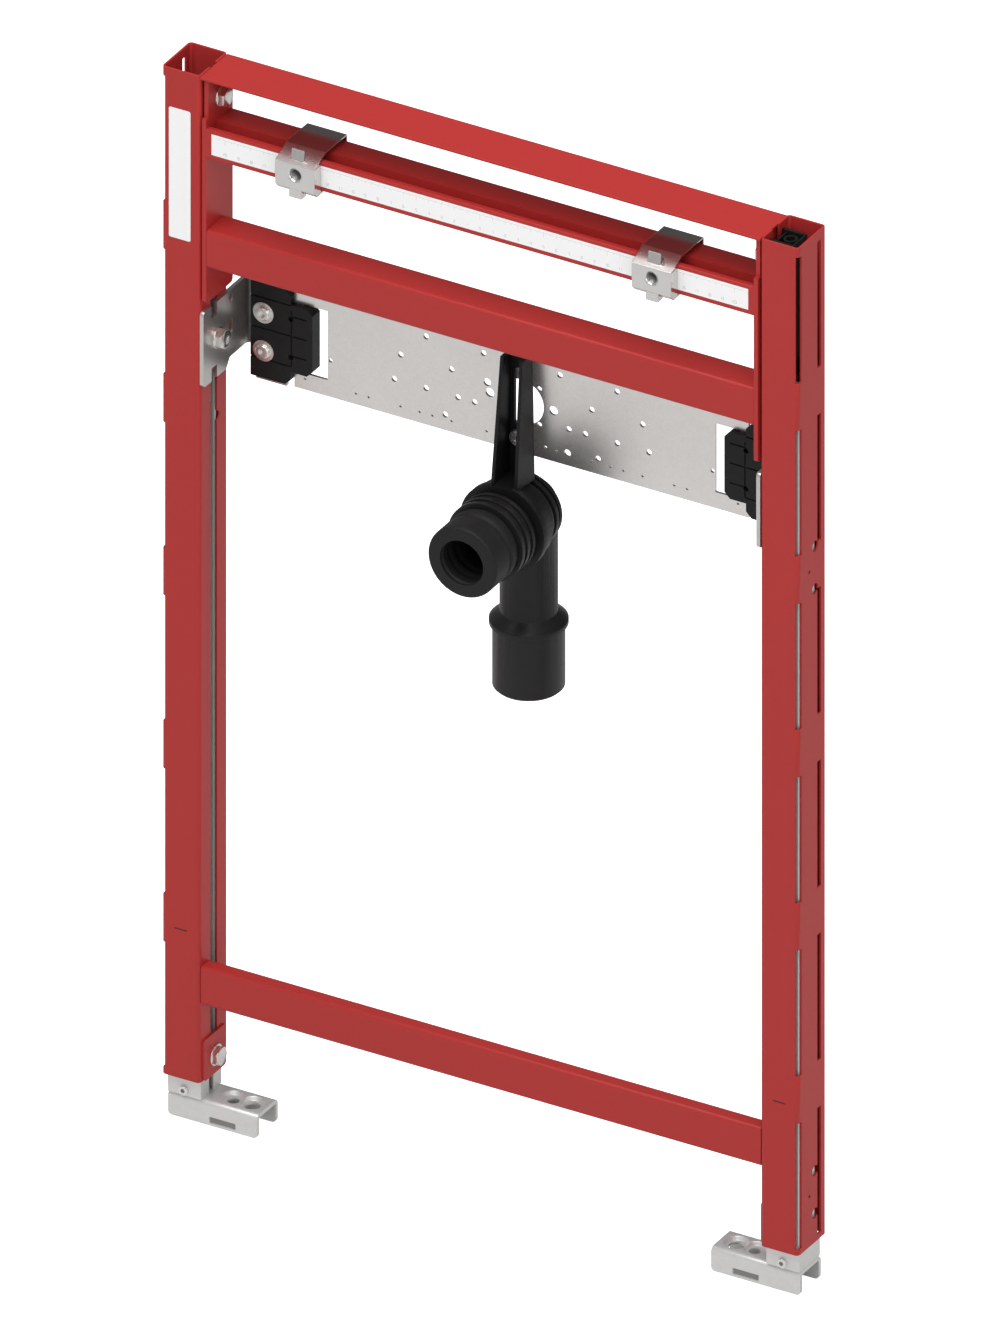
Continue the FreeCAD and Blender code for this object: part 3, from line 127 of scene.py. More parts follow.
class Surface:
    """Faces of one piece, gathered form by form as number arrays."""

    def __init__(self) -> None:
        """Start without any point."""
        self.points: list[np.ndarray] = []
        self.faces: list[tuple[int, ...]] = []
        self.count = 0

    def add(self, points: np.ndarray, faces: list[tuple[int, ...]]) -> None:
        """Take in one form.

        Args:
            points: its corners, one row for each.
            faces: corner numbers that start at 0 in this form.
        """
        self.faces += [tuple(corner + self.count for corner in face) for face in faces]
        self.points.append(points)
        self.count += len(points)

    def turned(self, along: np.ndarray, radii: np.ndarray, axis: int, centre: Point,
               closed: bool = False) -> None:
        """A skin over rings about an axis.

        Ring i lies at along[i] and its point j at the angle t = 2 pi j / AROUND, so the point is
        centre + along[i] e0 + radii[i, j] (cos t e1 + sin t e2), where e0 is the axis and e1 and e2
        are the next two axes in turn.

        Args:
            along: place of each ring on the axis.
            radii: radius of each ring, one value or one for each angle.
            axis: 0, 1 or 2 for X, Y or Z.
            centre: point on the axis that along is counted from.
            closed: True joins the last ring to the first, False caps both ends.
        """
        rings = len(along)
        angle = np.linspace(0.0, 2.0 * np.pi, AROUND, endpoint=False)
        radii = np.broadcast_to(radii if radii.ndim == 2 else radii[:, None], (rings, AROUND))
        grid = np.zeros((rings, AROUND, 3))
        grid[..., axis] = along[:, None]
        grid[..., (axis + 1) % 3] = radii * np.cos(angle)
        grid[..., (axis + 2) % 3] = radii * np.sin(angle)
        first = np.arange(rings if closed else rings - 1)[:, None]
        second = (first + 1) % rings
        low = np.arange(AROUND)[None, :]
        high = (low + 1) % AROUND
        quads = np.stack([first * AROUND + low, first * AROUND + high,
                          second * AROUND + high, second * AROUND + low], axis=-1)
        faces = [tuple(quad) for quad in quads.reshape(-1, 4).tolist()]
        if not closed:
            faces.append(tuple(range(AROUND - 1, -1, -1)))
            faces.append(tuple(range((rings - 1) * AROUND, rings * AROUND)))
        self.add(grid.reshape(-1, 3) + np.array(centre), faces)

    def boxes(self, low: np.ndarray, high: np.ndarray) -> None:
        """Upright boxes between pairs of opposite corners.

        Args:
            low: lowest corner of each box, one row for each.
            high: highest corner of each box.
        """
        unit = np.array([[i, j, k] for i in (0, 1) for j in (0, 1) for k in (0, 1)], float)
        sides = np.array([[0, 1, 3, 2], [4, 6, 7, 5], [0, 4, 5, 1],
                          [2, 3, 7, 6], [0, 2, 6, 4], [1, 5, 7, 3]])
        corners = low[:, None, :] + unit[None] * (high - low)[:, None, :]
        faces = (sides[None] + 8 * np.arange(len(low))[:, None, None]).reshape(-1, 4)
        self.add(corners.reshape(-1, 3), [tuple(face) for face in faces.tolist()])

    def plate(self, outline: np.ndarray, front: float, back: float) -> None:
        """An upright plate with the given outline in X and Z, between two values of Y.

        Args:
            outline: X and Z of each corner, anticlockwise as seen from the front.
            front: Y of the face that looks out.
            back: Y of the rear face.
        """
        count = len(outline)
        points = np.zeros((2, count, 3))
        points[..., 0], points[..., 2] = outline[:, 0], outline[:, 1]
        points[0, :, 1], points[1, :, 1] = front, back
        faces = [(count + j, count + (j + 1) % count, (j + 1) % count, j) for j in range(count)]
        faces += [tuple(range(count)), tuple(range(2 * count - 1, count - 1, -1))]
        self.add(points.reshape(-1, 3), faces)

    def build(self, name: str, body: str, material: bpy.types.Material,
              side: Side = Side.LEFT) -> bpy.types.Object:
        """Turn the gathered faces into an object that rides on a body.

        Args:
            name: name of the object.
            body: CAD body that it moves with.
            material: its finish.
            side: half of the frame that it belongs to.

        Returns:
            The finished object.
        """
        points = side.place(np.concatenate(self.points))
        faces = self.faces if side is Side.LEFT else [face[::-1] for face in self.faces]
        mesh = bpy.data.meshes.new(name)
        mesh.from_pydata(points.tolist(), [], faces)
        mesh.shade_smooth()
        mesh.set_sharp_from_angle(angle=SHARP_ANGLE)
        mesh.materials.append(material)
        piece = bpy.data.objects.new(name, mesh)
        bpy.context.scene.collection.objects.link(piece)
        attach(piece, body)
        return piece


def new_group(name: str, inputs: Sequence[tuple[str, str, float]],
              outputs: Sequence[tuple[str, str]]) -> tuple:
    """Start a shader node group.

    Args:
        name: name of the group.
        inputs: name, socket type and default value of each input.
        outputs: name and socket type of each output.

    Returns:
        The group, its input node and its output node.
    """
    group = bpy.data.node_groups.new(name, "ShaderNodeTree")
    for label, kind, default in inputs:
        socket = group.interface.new_socket(label, in_out="INPUT", socket_type=kind)
        socket.default_value = default
    for label, kind in outputs:
        group.interface.new_socket(label, in_out="OUTPUT", socket_type=kind)
    return group, group.nodes.new("NodeGroupInput"), group.nodes.new("NodeGroupOutput")


def add_noise(tree: bpy.types.NodeTree, detail: float) -> bpy.types.Node:
    """A noise texture that reads Object coordinates."""
    coordinates = tree.nodes.new("ShaderNodeTexCoord")
    noise = tree.nodes.new("ShaderNodeTexNoise")
    noise.inputs["Detail"].default_value = detail
    tree.links.new(coordinates.outputs["Object"], noise.inputs["Vector"])
    return noise


def grain_group() -> bpy.types.NodeTree:
    """Fine even grain, such as the skin of a powder coat or of moulded plastic.

    Returns:
        A group with the inputs Scale and Depth and the outputs Normal and Value.
    """
    group, entry, leave = new_group(
        "surface_grain",
        [("Scale", "NodeSocketFloat", 900.0), ("Depth", "NodeSocketFloat", 0.1)],
        [("Normal", "NodeSocketVector"), ("Value", "NodeSocketFloat")])
    noise = add_noise(group, 3.0)
    bump = group.nodes.new("ShaderNodeBump")
    bump.inputs["Distance"].default_value = 0.0002
    group.links.new(entry.outputs["Scale"], noise.inputs["Scale"])
    group.links.new(entry.outputs["Depth"], bump.inputs["Strength"])
    group.links.new(noise.outputs["Fac"], bump.inputs["Height"])
    group.links.new(bump.outputs["Normal"], leave.inputs["Normal"])
    group.links.new(noise.outputs["Fac"], leave.inputs["Value"])
    return group


def drift_group() -> bpy.types.NodeTree:
    """Slow change of tone over a surface, a colour times one plus a share of slow noise.

    Returns:
        A group with the inputs Colour, Amount and Scale and the output Colour.
    """
    group, entry, leave = new_group(
        "tone_drift",
        [("Colour", "NodeSocketColor", (0.5, 0.5, 0.5, 1.0)), ("Amount", "NodeSocketFloat", 0.1),
         ("Scale", "NodeSocketFloat", 12.0)],
        [("Colour", "NodeSocketColor")])
    noise = add_noise(group, 2.0)
    centred = group.nodes.new("ShaderNodeMath")
    centred.operation = "SUBTRACT"
    centred.inputs[1].default_value = 0.5
    scaled = group.nodes.new("ShaderNodeMath")
    scaled.operation = "MULTIPLY_ADD"
    scaled.inputs[2].default_value = 1.0
    tinted = group.nodes.new("ShaderNodeVectorMath")
    tinted.operation = "SCALE"
    group.links.new(entry.outputs["Scale"], noise.inputs["Scale"])
    group.links.new(noise.outputs["Fac"], centred.inputs[0])
    group.links.new(centred.outputs[0], scaled.inputs[0])
    group.links.new(entry.outputs["Amount"], scaled.inputs[1])
    group.links.new(entry.outputs["Colour"], tinted.inputs[0])
    group.links.new(scaled.outputs[0], tinted.inputs["Scale"])
    group.links.new(tinted.outputs[0], leave.inputs["Colour"])
    return group


def spangle_group() -> bpy.types.NodeTree:
    """Zinc crystals: one random tone for each cell of a cell texture.

    Returns:
        A group with the inputs Scale, Low and High and the output Value.
    """
    group, entry, leave = new_group(
        "zinc_spangle",
        [("Scale", "NodeSocketFloat", 300.0), ("Low", "NodeSocketFloat", 0.9),
         ("High", "NodeSocketFloat", 1.1)],
        [("Value", "NodeSocketFloat")])
    coordinates = group.nodes.new("ShaderNodeTexCoord")
    cells = group.nodes.new("ShaderNodeTexVoronoi")
    parted = group.nodes.new("ShaderNodeSeparateColor")
    ranged = group.nodes.new("ShaderNodeMapRange")
    group.links.new(coordinates.outputs["Object"], cells.inputs["Vector"])
    group.links.new(entry.outputs["Scale"], cells.inputs["Scale"])
    group.links.new(cells.outputs["Color"], parted.inputs[0])
    group.links.new(parted.outputs[0], ranged.inputs["Value"])
    group.links.new(entry.outputs["Low"], ranged.inputs["To Min"])
    group.links.new(entry.outputs["High"], ranged.inputs["To Max"])
    group.links.new(ranged.outputs["Result"], leave.inputs["Value"])
    return group


@dataclass
class Effects:
    """The shader node groups that several finishes share."""

    grain: bpy.types.NodeTree = field(default_factory=grain_group)
    drift: bpy.types.NodeTree = field(default_factory=drift_group)
    spangle: bpy.types.NodeTree = field(default_factory=spangle_group)


class Shader:
    """A material under construction, with its Principled shader."""

    def __init__(self, name: str, effects: Effects) -> None:
        """Start a material with a bare Principled shader."""
        self.material = bpy.data.materials.new(name)
        self.material.use_nodes = True
        self.tree = self.material.node_tree
        self.surface = self.tree.nodes["Principled BSDF"]
        self.effects = effects

    def place(self, group: bpy.types.NodeTree, **values: float) -> bpy.types.Node:
        """Put an effect into the material with its own values.

        Args:
            group: the effect's node group.
            values: input name to value; a name's underscore stands for a space.

        Returns:
            The group's node.
        """
        node = self.tree.nodes.new("ShaderNodeGroup")
        node.node_tree = group
        for label, value in values.items():
            node.inputs[label].default_value = value
        return node

    def link(self, source: bpy.types.NodeSocket, target: str) -> None:
        """Feed a socket of the Principled shader."""
        self.tree.links.new(source, self.surface.inputs[target])

    def ramp(self, source: bpy.types.NodeSocket, low: float, high: float, target: str) -> None:
        """Spread a value from 0 to 1 between two limits into a shader socket."""
        ranged = self.tree.nodes.new("ShaderNodeMapRange")
        ranged.inputs["To Min"].default_value = low
        ranged.inputs["To Max"].default_value = high
        self.tree.links.new(source, ranged.inputs["Value"])
        self.link(ranged.outputs["Result"], target)


@dataclass(frozen=True)
class PaintFinish:
    """Powder coat or moulded plastic: one colour, a slow drift of tone and a fine grain."""

    name: str
    colour: Colour
    roughness: float
    drift: float = 0.12
    grain_scale: float = 900.0
    grain_depth: float = 0.12
    specular: float = 0.5
    drift_scale: float = 14.0
    spread: float = 0.05

    def build(self, effects: Effects) -> bpy.types.Material:
        """Make the material.

        Args:
            effects: the shared node groups.

        Returns:
            The finished material.
        """
        shader = Shader(self.name, effects)
        tone = shader.place(effects.drift, Colour=(*self.colour, 1.0), Amount=self.drift,
                            Scale=self.drift_scale)
        grain = shader.place(effects.grain, Scale=self.grain_scale, Depth=self.grain_depth)
        shader.link(tone.outputs["Colour"], "Base Color")
        shader.link(grain.outputs["Normal"], "Normal")
        shader.ramp(grain.outputs["Value"], self.roughness - self.spread,
                    self.roughness + self.spread, "Roughness")
        shader.surface.inputs["Specular IOR Level"].default_value = self.specular
        return shader.material


@dataclass(frozen=True)
class ZincFinish:
    """Zinc coated steel: crystals in the tone, a slow drift and a fine brushed grain."""

    name: str
    colour: Colour
    roughness: float
    metallic: float
    spangle_scale: float = 260.0
    spangle_spread: float = 0.06
    drift: float = 0.07
    drift_scale: float = 22.0
    grain_scale: float = 1500.0
    grain_depth: float = 0.025
    spread: float = 0.08

    def build(self, effects: Effects) -> bpy.types.Material:
        """Make the material.

        Args:
            effects: the shared node groups.

        Returns:
            The finished material.
        """
        shader = Shader(self.name, effects)
        tone = shader.place(effects.drift, Colour=(*self.colour, 1.0), Amount=self.drift,
                            Scale=self.drift_scale)
        cells = shader.place(effects.spangle, Scale=self.spangle_scale,
                             Low=1.0 - self.spangle_spread, High=1.0 + self.spangle_spread)
        mixed = shader.tree.nodes.new("ShaderNodeVectorMath")
        mixed.operation = "SCALE"
        shader.tree.links.new(tone.outputs["Colour"], mixed.inputs[0])
        shader.tree.links.new(cells.outputs["Value"], mixed.inputs["Scale"])
        shader.link(mixed.outputs[0], "Base Color")
        grain = shader.place(effects.grain, Scale=self.grain_scale, Depth=self.grain_depth)
        shader.link(grain.outputs["Normal"], "Normal")
        shader.ramp(grain.outputs["Value"], self.roughness - self.spread,
                    self.roughness + self.spread, "Roughness")
        shader.surface.inputs["Metallic"].default_value = self.metallic
        return shader.material


# Sheet finishes of other gloss; the darker ones on the carrier brackets and clamp straps paint
# their shade.
PAIR_GLOSS_AND_SHADE = {"carrier_bracket": Trim.SATIN_SHADED, "clamp_strap": Trim.BRIGHT,
              "leg": Trim.MATT, "foot_plate": Trim.MATT}
SHEET_GLOSS_AND_SHADE = {f"{side.body}_{name}": trim for name, trim in PAIR_GLOSS_AND_SHADE.items() for side in Side}
SHEET_GLOSS_AND_SHADE["mounting_plate"] = Trim.PLATE


def dress_nodes(materials: dict[Enum, bpy.types.Material]) -> None:
    """Give every CAD node its finish, and broken edges to all but the perforated plate."""
    slots = {part["node"]: Slot(part["material_slot"]) for part in frame["record"]["subparts"]}
    for name, node in frame["nodes"].items():
        node.data.materials.clear()
        node.data.materials.append(materials[SHEET_GLOSS_AND_SHADE.get(name, slots[name])])
        if name == "mounting_plate":
            continue
        weld = node.modifiers.new("weld", "WELD")
        weld.merge_threshold = WELD_REACH
        bevel = node.modifiers.new("edges", "BEVEL")
        bevel.width = EDGE_WIDTH
        bevel.segments = 2
        bevel.limit_method = "ANGLE"
        bevel.angle_limit = EDGE_ANGLE
        bevel.harden_normals = True


@dataclass
class Studio:
    """Camera at the photograph's angle, pale floor and soft lamps."""

    target: Point = (0.2508, -0.007, 0.4299)
    back: Point = (0.4330, -0.75, 0.5)
    frame_height: float = 0.9065
    distance: float = 3.0
    reach: float = 100.0
    floor_half: float = 20.0
    floor_height: float = -0.0006
    floor_tone: float = 0.8
    floor_glow: float = 0.95
    surround: float = 0.48
    dimming: float = 0.8
    rear_start: float = 0.15
    rear_end: float = 0.65
    lamps: tuple = (("key_lamp", (0.2, -0.9, 3.2), 2.6, 66.0),
                    ("fill_lamp", (2.8, -1.6, 1.6), 2.0, 13.0))

    def camera(self) -> None:
        """An orthographic camera that looks at the target."""
        data = bpy.data.cameras.new("camera")
        data.type = "ORTHO"
        data.ortho_scale = self.frame_height
        data.clip_end = self.reach
        camera = bpy.data.objects.new("camera", data)
        bpy.context.scene.collection.objects.link(camera)
        back = Vector(self.back).normalized()
        camera.location = Vector(self.target) + back * self.distance
        camera.rotation_euler = back.to_track_quat("Z", "Y").to_euler()
        bpy.context.scene.camera = camera

    def floor(self) -> None:
        """A pale floor that shows white to the camera and keeps a faint shadow."""
        half, below = self.floor_half, self.floor_height
        mesh = bpy.data.meshes.new("floor")
        corners = [(-half, -half, below), (half, -half, below),
                   (half, half, below), (-half, half, below)]
        mesh.from_pydata(corners, [], [(0, 1, 2, 3)])
        material = bpy.data.materials.new("floor")
        material.use_nodes = True
        tree = material.node_tree
        surface = tree.nodes["Principled BSDF"]
        surface.inputs["Base Color"].default_value = (*[self.floor_tone] * 3, 1.0)
        surface.inputs["Roughness"].default_value = 1.0
        surface.inputs["Specular IOR Level"].default_value = 0.0
        surface.inputs["Emission Color"].default_value = (1.0, 1.0, 1.0, 1.0)
        path = tree.nodes.new("ShaderNodeLightPath")
        strength = tree.nodes.new("ShaderNodeMath")
        strength.operation = "MULTIPLY"
        strength.inputs[1].default_value = self.floor_glow
        tree.links.new(path.outputs["Is Camera Ray"], strength.inputs[0])
        tree.links.new(strength.outputs[0], surface.inputs["Emission Strength"])
        mesh.materials.append(material)
        floor = bpy.data.objects.new("floor", mesh)
        bpy.context.scene.collection.objects.link(floor)

    def lamp(self, name: str, place: Point, size: float, power: float) -> None:
        """A square area lamp aimed at the target."""
        data = bpy.data.lights.new(name, "AREA")
        data.size = size
        data.energy = power
        lamp = bpy.data.objects.new(name, data)
        bpy.context.scene.collection.objects.link(lamp)
        lamp.location = place
        away = Vector(place) - Vector(self.target)
        lamp.rotation_euler = away.to_track_quat("Z", "Y").to_euler()

    def world(self) -> None:
        """A white surround whose rear shows darker in reflections.

        The strength for a glossy ray is surround (1 - dimming f), and f rises from 0 to 1 while the
        Y of the ray's direction goes from rear_start to rear_end.
        """
        world = bpy.data.worlds.new("surround")
        world.use_nodes = True
        tree = world.node_tree
        background = tree.nodes["Background"]
        background.inputs["Color"].default_value = (1.0, 1.0, 1.0, 1.0)
        direction = tree.nodes.new("ShaderNodeTexCoord")
        parted = tree.nodes.new("ShaderNodeSeparateXYZ")
        rear = tree.nodes.new("ShaderNodeMapRange")
        rear.inputs["From Min"].default_value = self.rear_start
        rear.inputs["From Max"].default_value = self.rear_end
        rear.inputs["To Max"].default_value = -self.dimming * self.surround
        path = tree.nodes.new("ShaderNodeLightPath")
        total = tree.nodes.new("ShaderNodeMath")
        total.operation = "MULTIPLY_ADD"
        total.inputs[2].default_value = self.surround
        tree.links.new(direction.outputs["Object"], parted.inputs[0])
        tree.links.new(parted.outputs["Y"], rear.inputs["Value"])
        tree.links.new(rear.outputs["Result"], total.inputs[0])
        tree.links.new(path.outputs["Is Glossy Ray"], total.inputs[1])
        tree.links.new(total.outputs[0], background.inputs["Strength"])
        bpy.context.scene.world = world

    def build(self) -> None:
        """Set up the whole studio."""
        self.camera()
        self.floor()
        self.world()
        for name, place, size, power in self.lamps:
            self.lamp(name, place, size, power)
        bpy.context.scene.view_settings.view_transform = "Standard"


def hexagon(across: float) -> np.ndarray:
    """Radius of a hexagon at each angle t, across / 2 / cos(t folded to +-30 degrees)."""
    angle = np.linspace(0.0, 2.0 * np.pi, AROUND, endpoint=False)
    sector = np.pi / 3.0
    return across / 2.0 / np.cos((angle + sector / 2.0) % sector - sector / 2.0)


def thread(along: np.ndarray, crest: float, depth: float, pitch: float) -> np.ndarray:
    """Radius of a single-start thread, r = crest - depth |2 frac(s / pitch - t / 2 pi) - 1|.

    Args:
        along: place of each ring on the axis, s in the formula.
        crest: radius where the absolute value is 0.
        depth: distance from there to the other limit; below 0 it points outwards.
        pitch: advance in one turn.

    Returns:
        One radius for each ring and each angle t.
    """
    turn = np.linspace(0.0, 1.0, AROUND, endpoint=False)[None, :]
    phase = (along[:, None] / pitch - turn) % 1.0
    return crest - depth * np.abs(2.0 * phase - 1.0)


@dataclass(frozen=True)
class ChannelBolt:
    """Hexagon bolt with a washer, and the nut that it grips with inside the upright.

    Lengths along the bolt are counted on X from the left upright's axis.
    """

    name: str
    seat: float
    nut_face: float
    height: float
    spacer: tuple[float, float] | None = None
    depth: float = 12.2 * MM
    washer_radius: float = 8.0 * MM
    washer_height: float = 1.6 * MM
    across: float = 13.0 * MM
    head_height: float = 5.3 * MM
    shank_radius: float = 4.0 * MM
    nut_size: tuple[float, float, float] = (5.0 * MM, 10.4 * MM, 18.0 * MM)
    tail: float = 2.0 * MM
    pitch: float = 1.25 * MM
    thread_depth: float = 0.45 * MM
    point: float = 0.82
    lead_in: float = 3.0 * MM
    crown_share: float = 0.94
    edge: float = 0.25 * MM

    def head(self) -> tuple[np.ndarray, np.ndarray]:
        """Rings of the hexagon head with its turned crown.

        Above the lower part the radius is the lesser of the hexagon's and of the cone
        r(s) = crown + (top - s) / tan 30, which leaves the arched edges of a turned head.

        Returns:
            Place and radii of the rings.
        """
        base = self.seat + self.washer_height
        top = base + self.head_height
        crown = self.across / 2.0 * self.crown_share
        along = np.concatenate([[base - self.edge], np.linspace(base, top, HEAD_RINGS)])
        cone = crown + (top - along[:, None]) / math.tan(CROWN_ANGLE)
        return along, np.minimum(hexagon(self.across)[None, :], cone)

    def build(self, side: Side, material: bpy.types.Material) -> bpy.types.Object:
        """Make the bolt and let it stand for its CAD node.

        Args:
            side: half of the frame that it belongs to.
            material: its finish.

        Returns:
            The finished object.
        """
        centre = (0.0, self.depth, self.height)
        surface = Surface()
        surface.turned(*self.head(), 0, centre)
        washer, edge = self.washer_radius, self.edge
        top, shank_radius = self.washer_height, self.shank_radius
        lift = np.array([0.0, 0.0, edge, top - edge, top, top])
        spread = np.array([shank_radius, washer - edge, washer,
                           washer, washer - edge, shank_radius])
        surface.turned(self.seat + lift, spread, 0, centre)
        if self.spacer:
            surface.turned(np.array(self.spacer), np.full(2, washer), 0, centre)
        start = self.nut_face - self.nut_size[0] - self.tail
        shank = np.linspace(start, self.seat, SHANK_RINGS)
        radii = thread(shank, shank_radius, self.thread_depth, self.pitch)
        radii *= np.clip(self.point + (shank - start) / self.lead_in, 0.0, 1.0)[:, None]
        surface.turned(shank, radii, 0, centre)
        half = np.array(self.nut_size) / 2.0
        middle = np.array([self.nut_face - half[0], *centre[1:]])
        surface.boxes((middle - half)[None], (middle + half)[None])
        name = f"{side.body}_{self.name}"
        piece = surface.build(name + "_detail", "frame", material, side)
        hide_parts(name)
        return piece


CHANNEL_BOLTS = (
    ChannelBolt("lock_bolt", 16.5 * MM, 11.2 * MM, 48.0 * MM,
                washer_height=0.9 * MM, head_height=4.3 * MM),
    ChannelBolt("carrier_bolt", 18.0 * MM, 11.2 * MM, 612.0 * MM),
    ChannelBolt("top_bolt", 20.0 * MM, 13.5 * MM, 802.5 * MM, (15.0 * MM, 16.8 * MM)),
)


@dataclass(frozen=True)
class FootScrew:
    """Socket screw that joins a leg to its foot plate, seen from the front."""

    height: float = 22.8 * MM
    front: float = -4.4 * MM
    back: float = -0.5 * MM
    head_radius: float = 3.6 * MM
    head_height: float = 2.4 * MM
    shank_radius: float = 2.0 * MM
    socket: float = 3.0 * MM
    socket_depth: float = 1.5 * MM
    socket_taper: float = 0.96
    shade_disc_share: float = 0.9
    shade_disc_half: float = 0.05 * MM
    edge: float = 0.5 * MM

    def build(self, side: Side, material: bpy.types.Material,
              shade: bpy.types.Material) -> bpy.types.Object:
        """Make the screw and let it stand for its CAD node.

        Args:
            side: half of the frame that it belongs to.
            material: its finish.
            shade: finish of the dark disc at the socket's floor, which paints the shade in the
                socket.

        Returns:
            The finished object.
        """
        key = hexagon(self.socket)
        rounding = np.linspace(0.0, np.pi / 2.0, 6)
        dome = np.stack([self.front + self.edge * (1.0 - np.cos(rounding)),
                         self.head_radius - self.edge * (1.0 - np.sin(rounding))])
        under = self.front + self.head_height
        along = np.concatenate([[self.front + self.socket_depth, self.front], dome[0],
                                [under, under, self.back]])
        radii = np.concatenate([np.stack([key * self.socket_taper, key]),
                                np.repeat(dome[1][:, None], AROUND, axis=1),
                                np.full((1, AROUND), self.head_radius),
                                np.full((2, AROUND), self.shank_radius)])
        surface = Surface()
        surface.turned(along, radii, 1, (0.0, 0.0, self.height))
        piece = surface.build(f"{side.body}_foot_screw_detail", f"{side.body}_leg", material, side)
        # A dark disc at the socket's floor: painted shade in the screw's socket.
        socket_shade = Surface()
        floor = self.front + self.socket_depth
        socket_shade.turned(np.array([floor - self.shade_disc_half, floor + self.shade_disc_half]),
                     np.stack([key * self.shade_disc_share] * 2), 1, (0.0, 0.0, self.height))
        socket_shade.build(f"{side.body}_foot_screw_socket_shade", f"{side.body}_leg", shade, side)
        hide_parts(f"{side.body}_foot_screw")
        return piece


@dataclass(frozen=True)
class ClampThread:
    """Turns of the stud thread in the bore of a clamp block, in a dark zinc that paints the shade
    inside the bore.
    """

    across: float = 95.0 * MM
    height: float = 775.2 * MM
    front: float = -15.3 * MM
    back: float = -7.4 * MM
    outer: float = 4.23 * MM
    valley: float = 4.18 * MM
    depth: float = 0.55 * MM
    pitch: float = 1.5 * MM

    def build(self, side: Side, material: bpy.types.Material) -> bpy.types.Object:
        """Make the sleeve of thread turns, which lines the CAD bore.

        Args:
            side: half of the frame that it belongs to.
            material: its finish.

        Returns:
            The finished object.
        """
        inner = np.linspace(self.back, self.front, 72)
        along = np.concatenate([inner, [self.front, self.back]])
        radii = np.concatenate([thread(inner, self.valley, self.depth, self.pitch),
                                np.full((2, AROUND), self.outer)])
        surface = Surface()
        surface.turned(along, radii, 1, (self.across, 0.0, self.height), closed=True)
        piece = surface.build(f"{side.body}_stud_thread", f"{side.body}_clamp", material, side)
        return piece


@dataclass(frozen=True)
class DrainNipple:
    """Rubber nipple in the drain's mouth, with a beaded rim and folds.

    With s counted from the mouth, the outside is
    R(s) = radius - bend(s) - sum of d exp(-((s - m)/w)^2) over the outer grooves, and
    bend(s) = e - sqrt(e^2 - (e - s)^2) rounds the mouth for s < e. The hole is
    r(s) = bore + sum of the same bell curves over the inner grooves.
    """

    centre: Point = (MIDDLE, -32.0 * MM, 519.0 * MM)
    length: float = 32.0 * MM
    radius: float = 27.0 * MM
    bore: float = 17.0 * MM
    rounding: float = 2.4 * MM
    outer_grooves: tuple = ((1.9, 21.0, 1.5), (1.5, 32.0, 1.8))
    inner_grooves: tuple = ((1.1, 3.4, 0.9), (0.7, 13.0, 2.4), (0.9, 22.0, 2.6))

    @staticmethod
    def bells(place: np.ndarray, grooves: tuple) -> np.ndarray:
        """Sum of the bell curves, each given in millimetres as depth d, place m and width w."""
        depth, middle, width = np.array(grooves).T * MM
        return (depth * np.exp(-(((place[:, None] - middle) / width) ** 2))).sum(axis=1)

    def build(self, material: bpy.types.Material) -> bpy.types.Object:
        """Make the nipple and let it stand for its CAD node.

        Args:
            material: its finish.

        Returns:
            The finished object.
        """
        place = np.concatenate([self.rounding * (1.0 - np.cos(np.linspace(0.0, np.pi / 2.0, 9))),
                                np.linspace(self.rounding, self.length, 90)[1:]])
        short = np.clip(self.rounding - place, 0.0, None)
        bend = self.rounding - np.sqrt(self.rounding ** 2 - short ** 2)
        outside = self.radius - bend - self.bells(place, self.outer_grooves)
        inside = self.bore + self.bells(place, self.inner_grooves)
        surface = Surface()
        surface.turned(np.concatenate([place, place[::-1]]),
                       np.concatenate([outside, inside[::-1]]), 1, self.centre, closed=True)
        piece = surface.build("drain_nipple_detail", "frame", material)
        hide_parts("drain_nipple")
        return piece


@dataclass(frozen=True)
class GuideCap:
    """Ribbed cap in the upper end of the right guide, drawn for the left half and mirrored."""

    centre: tuple[float, float] = (2.0 * MM, 12.2 * MM)
    low: tuple[float, float] = (-5.5 * MM, 4.5 * MM)
    high: tuple[float, float] = (13.2 * MM, 19.9 * MM)
    floor: float = 812.2 * MM
    sheet: float = 1.6 * MM
    rib_height: float = 4.0 * MM
    rib: float = 1.4 * MM
    rib_inset: float = 4.0 * MM
    ring_outer: float = 5.0 * MM
    ring_inner: float = 3.2 * MM
    ring_height: float = 5.2 * MM

    def build(self, material: bpy.types.Material) -> bpy.types.Object:
        """Make the cap: a floor, two crossed ribs and a ring where they meet.

        Args:
            material: its finish.

        Returns:
            The finished object.
        """
        (x, y), (x0, y0), (x1, y1) = self.centre, self.low, self.high
        top, half = self.floor + self.sheet, self.rib / 2.0
        rib_start = x1 - self.rib_inset
        low = np.array([[x0, y0, self.floor], [x0, y - half, top], [rib_start, y0, top],
                        [x - self.ring_inner, y - half, top]])
        high = np.array([[x1, y1, top], [x - self.ring_inner, y + half, top + self.rib_height],
                         [rib_start + self.rib, y1, top + self.rib_height],
                         [x + self.ring_inner, y + half, top + self.sheet]])
        surface = Surface()
        surface.boxes(low, high)
        rim, outer, inner = top + self.ring_height, self.ring_outer, self.ring_inner
        surface.turned(np.array([top, rim, rim, top]), np.array([outer, outer, inner, inner]),
                       2, (x, y, 0.0), closed=True)
        piece = surface.build("guide_cap", "frame", material, Side.RIGHT)
        return piece


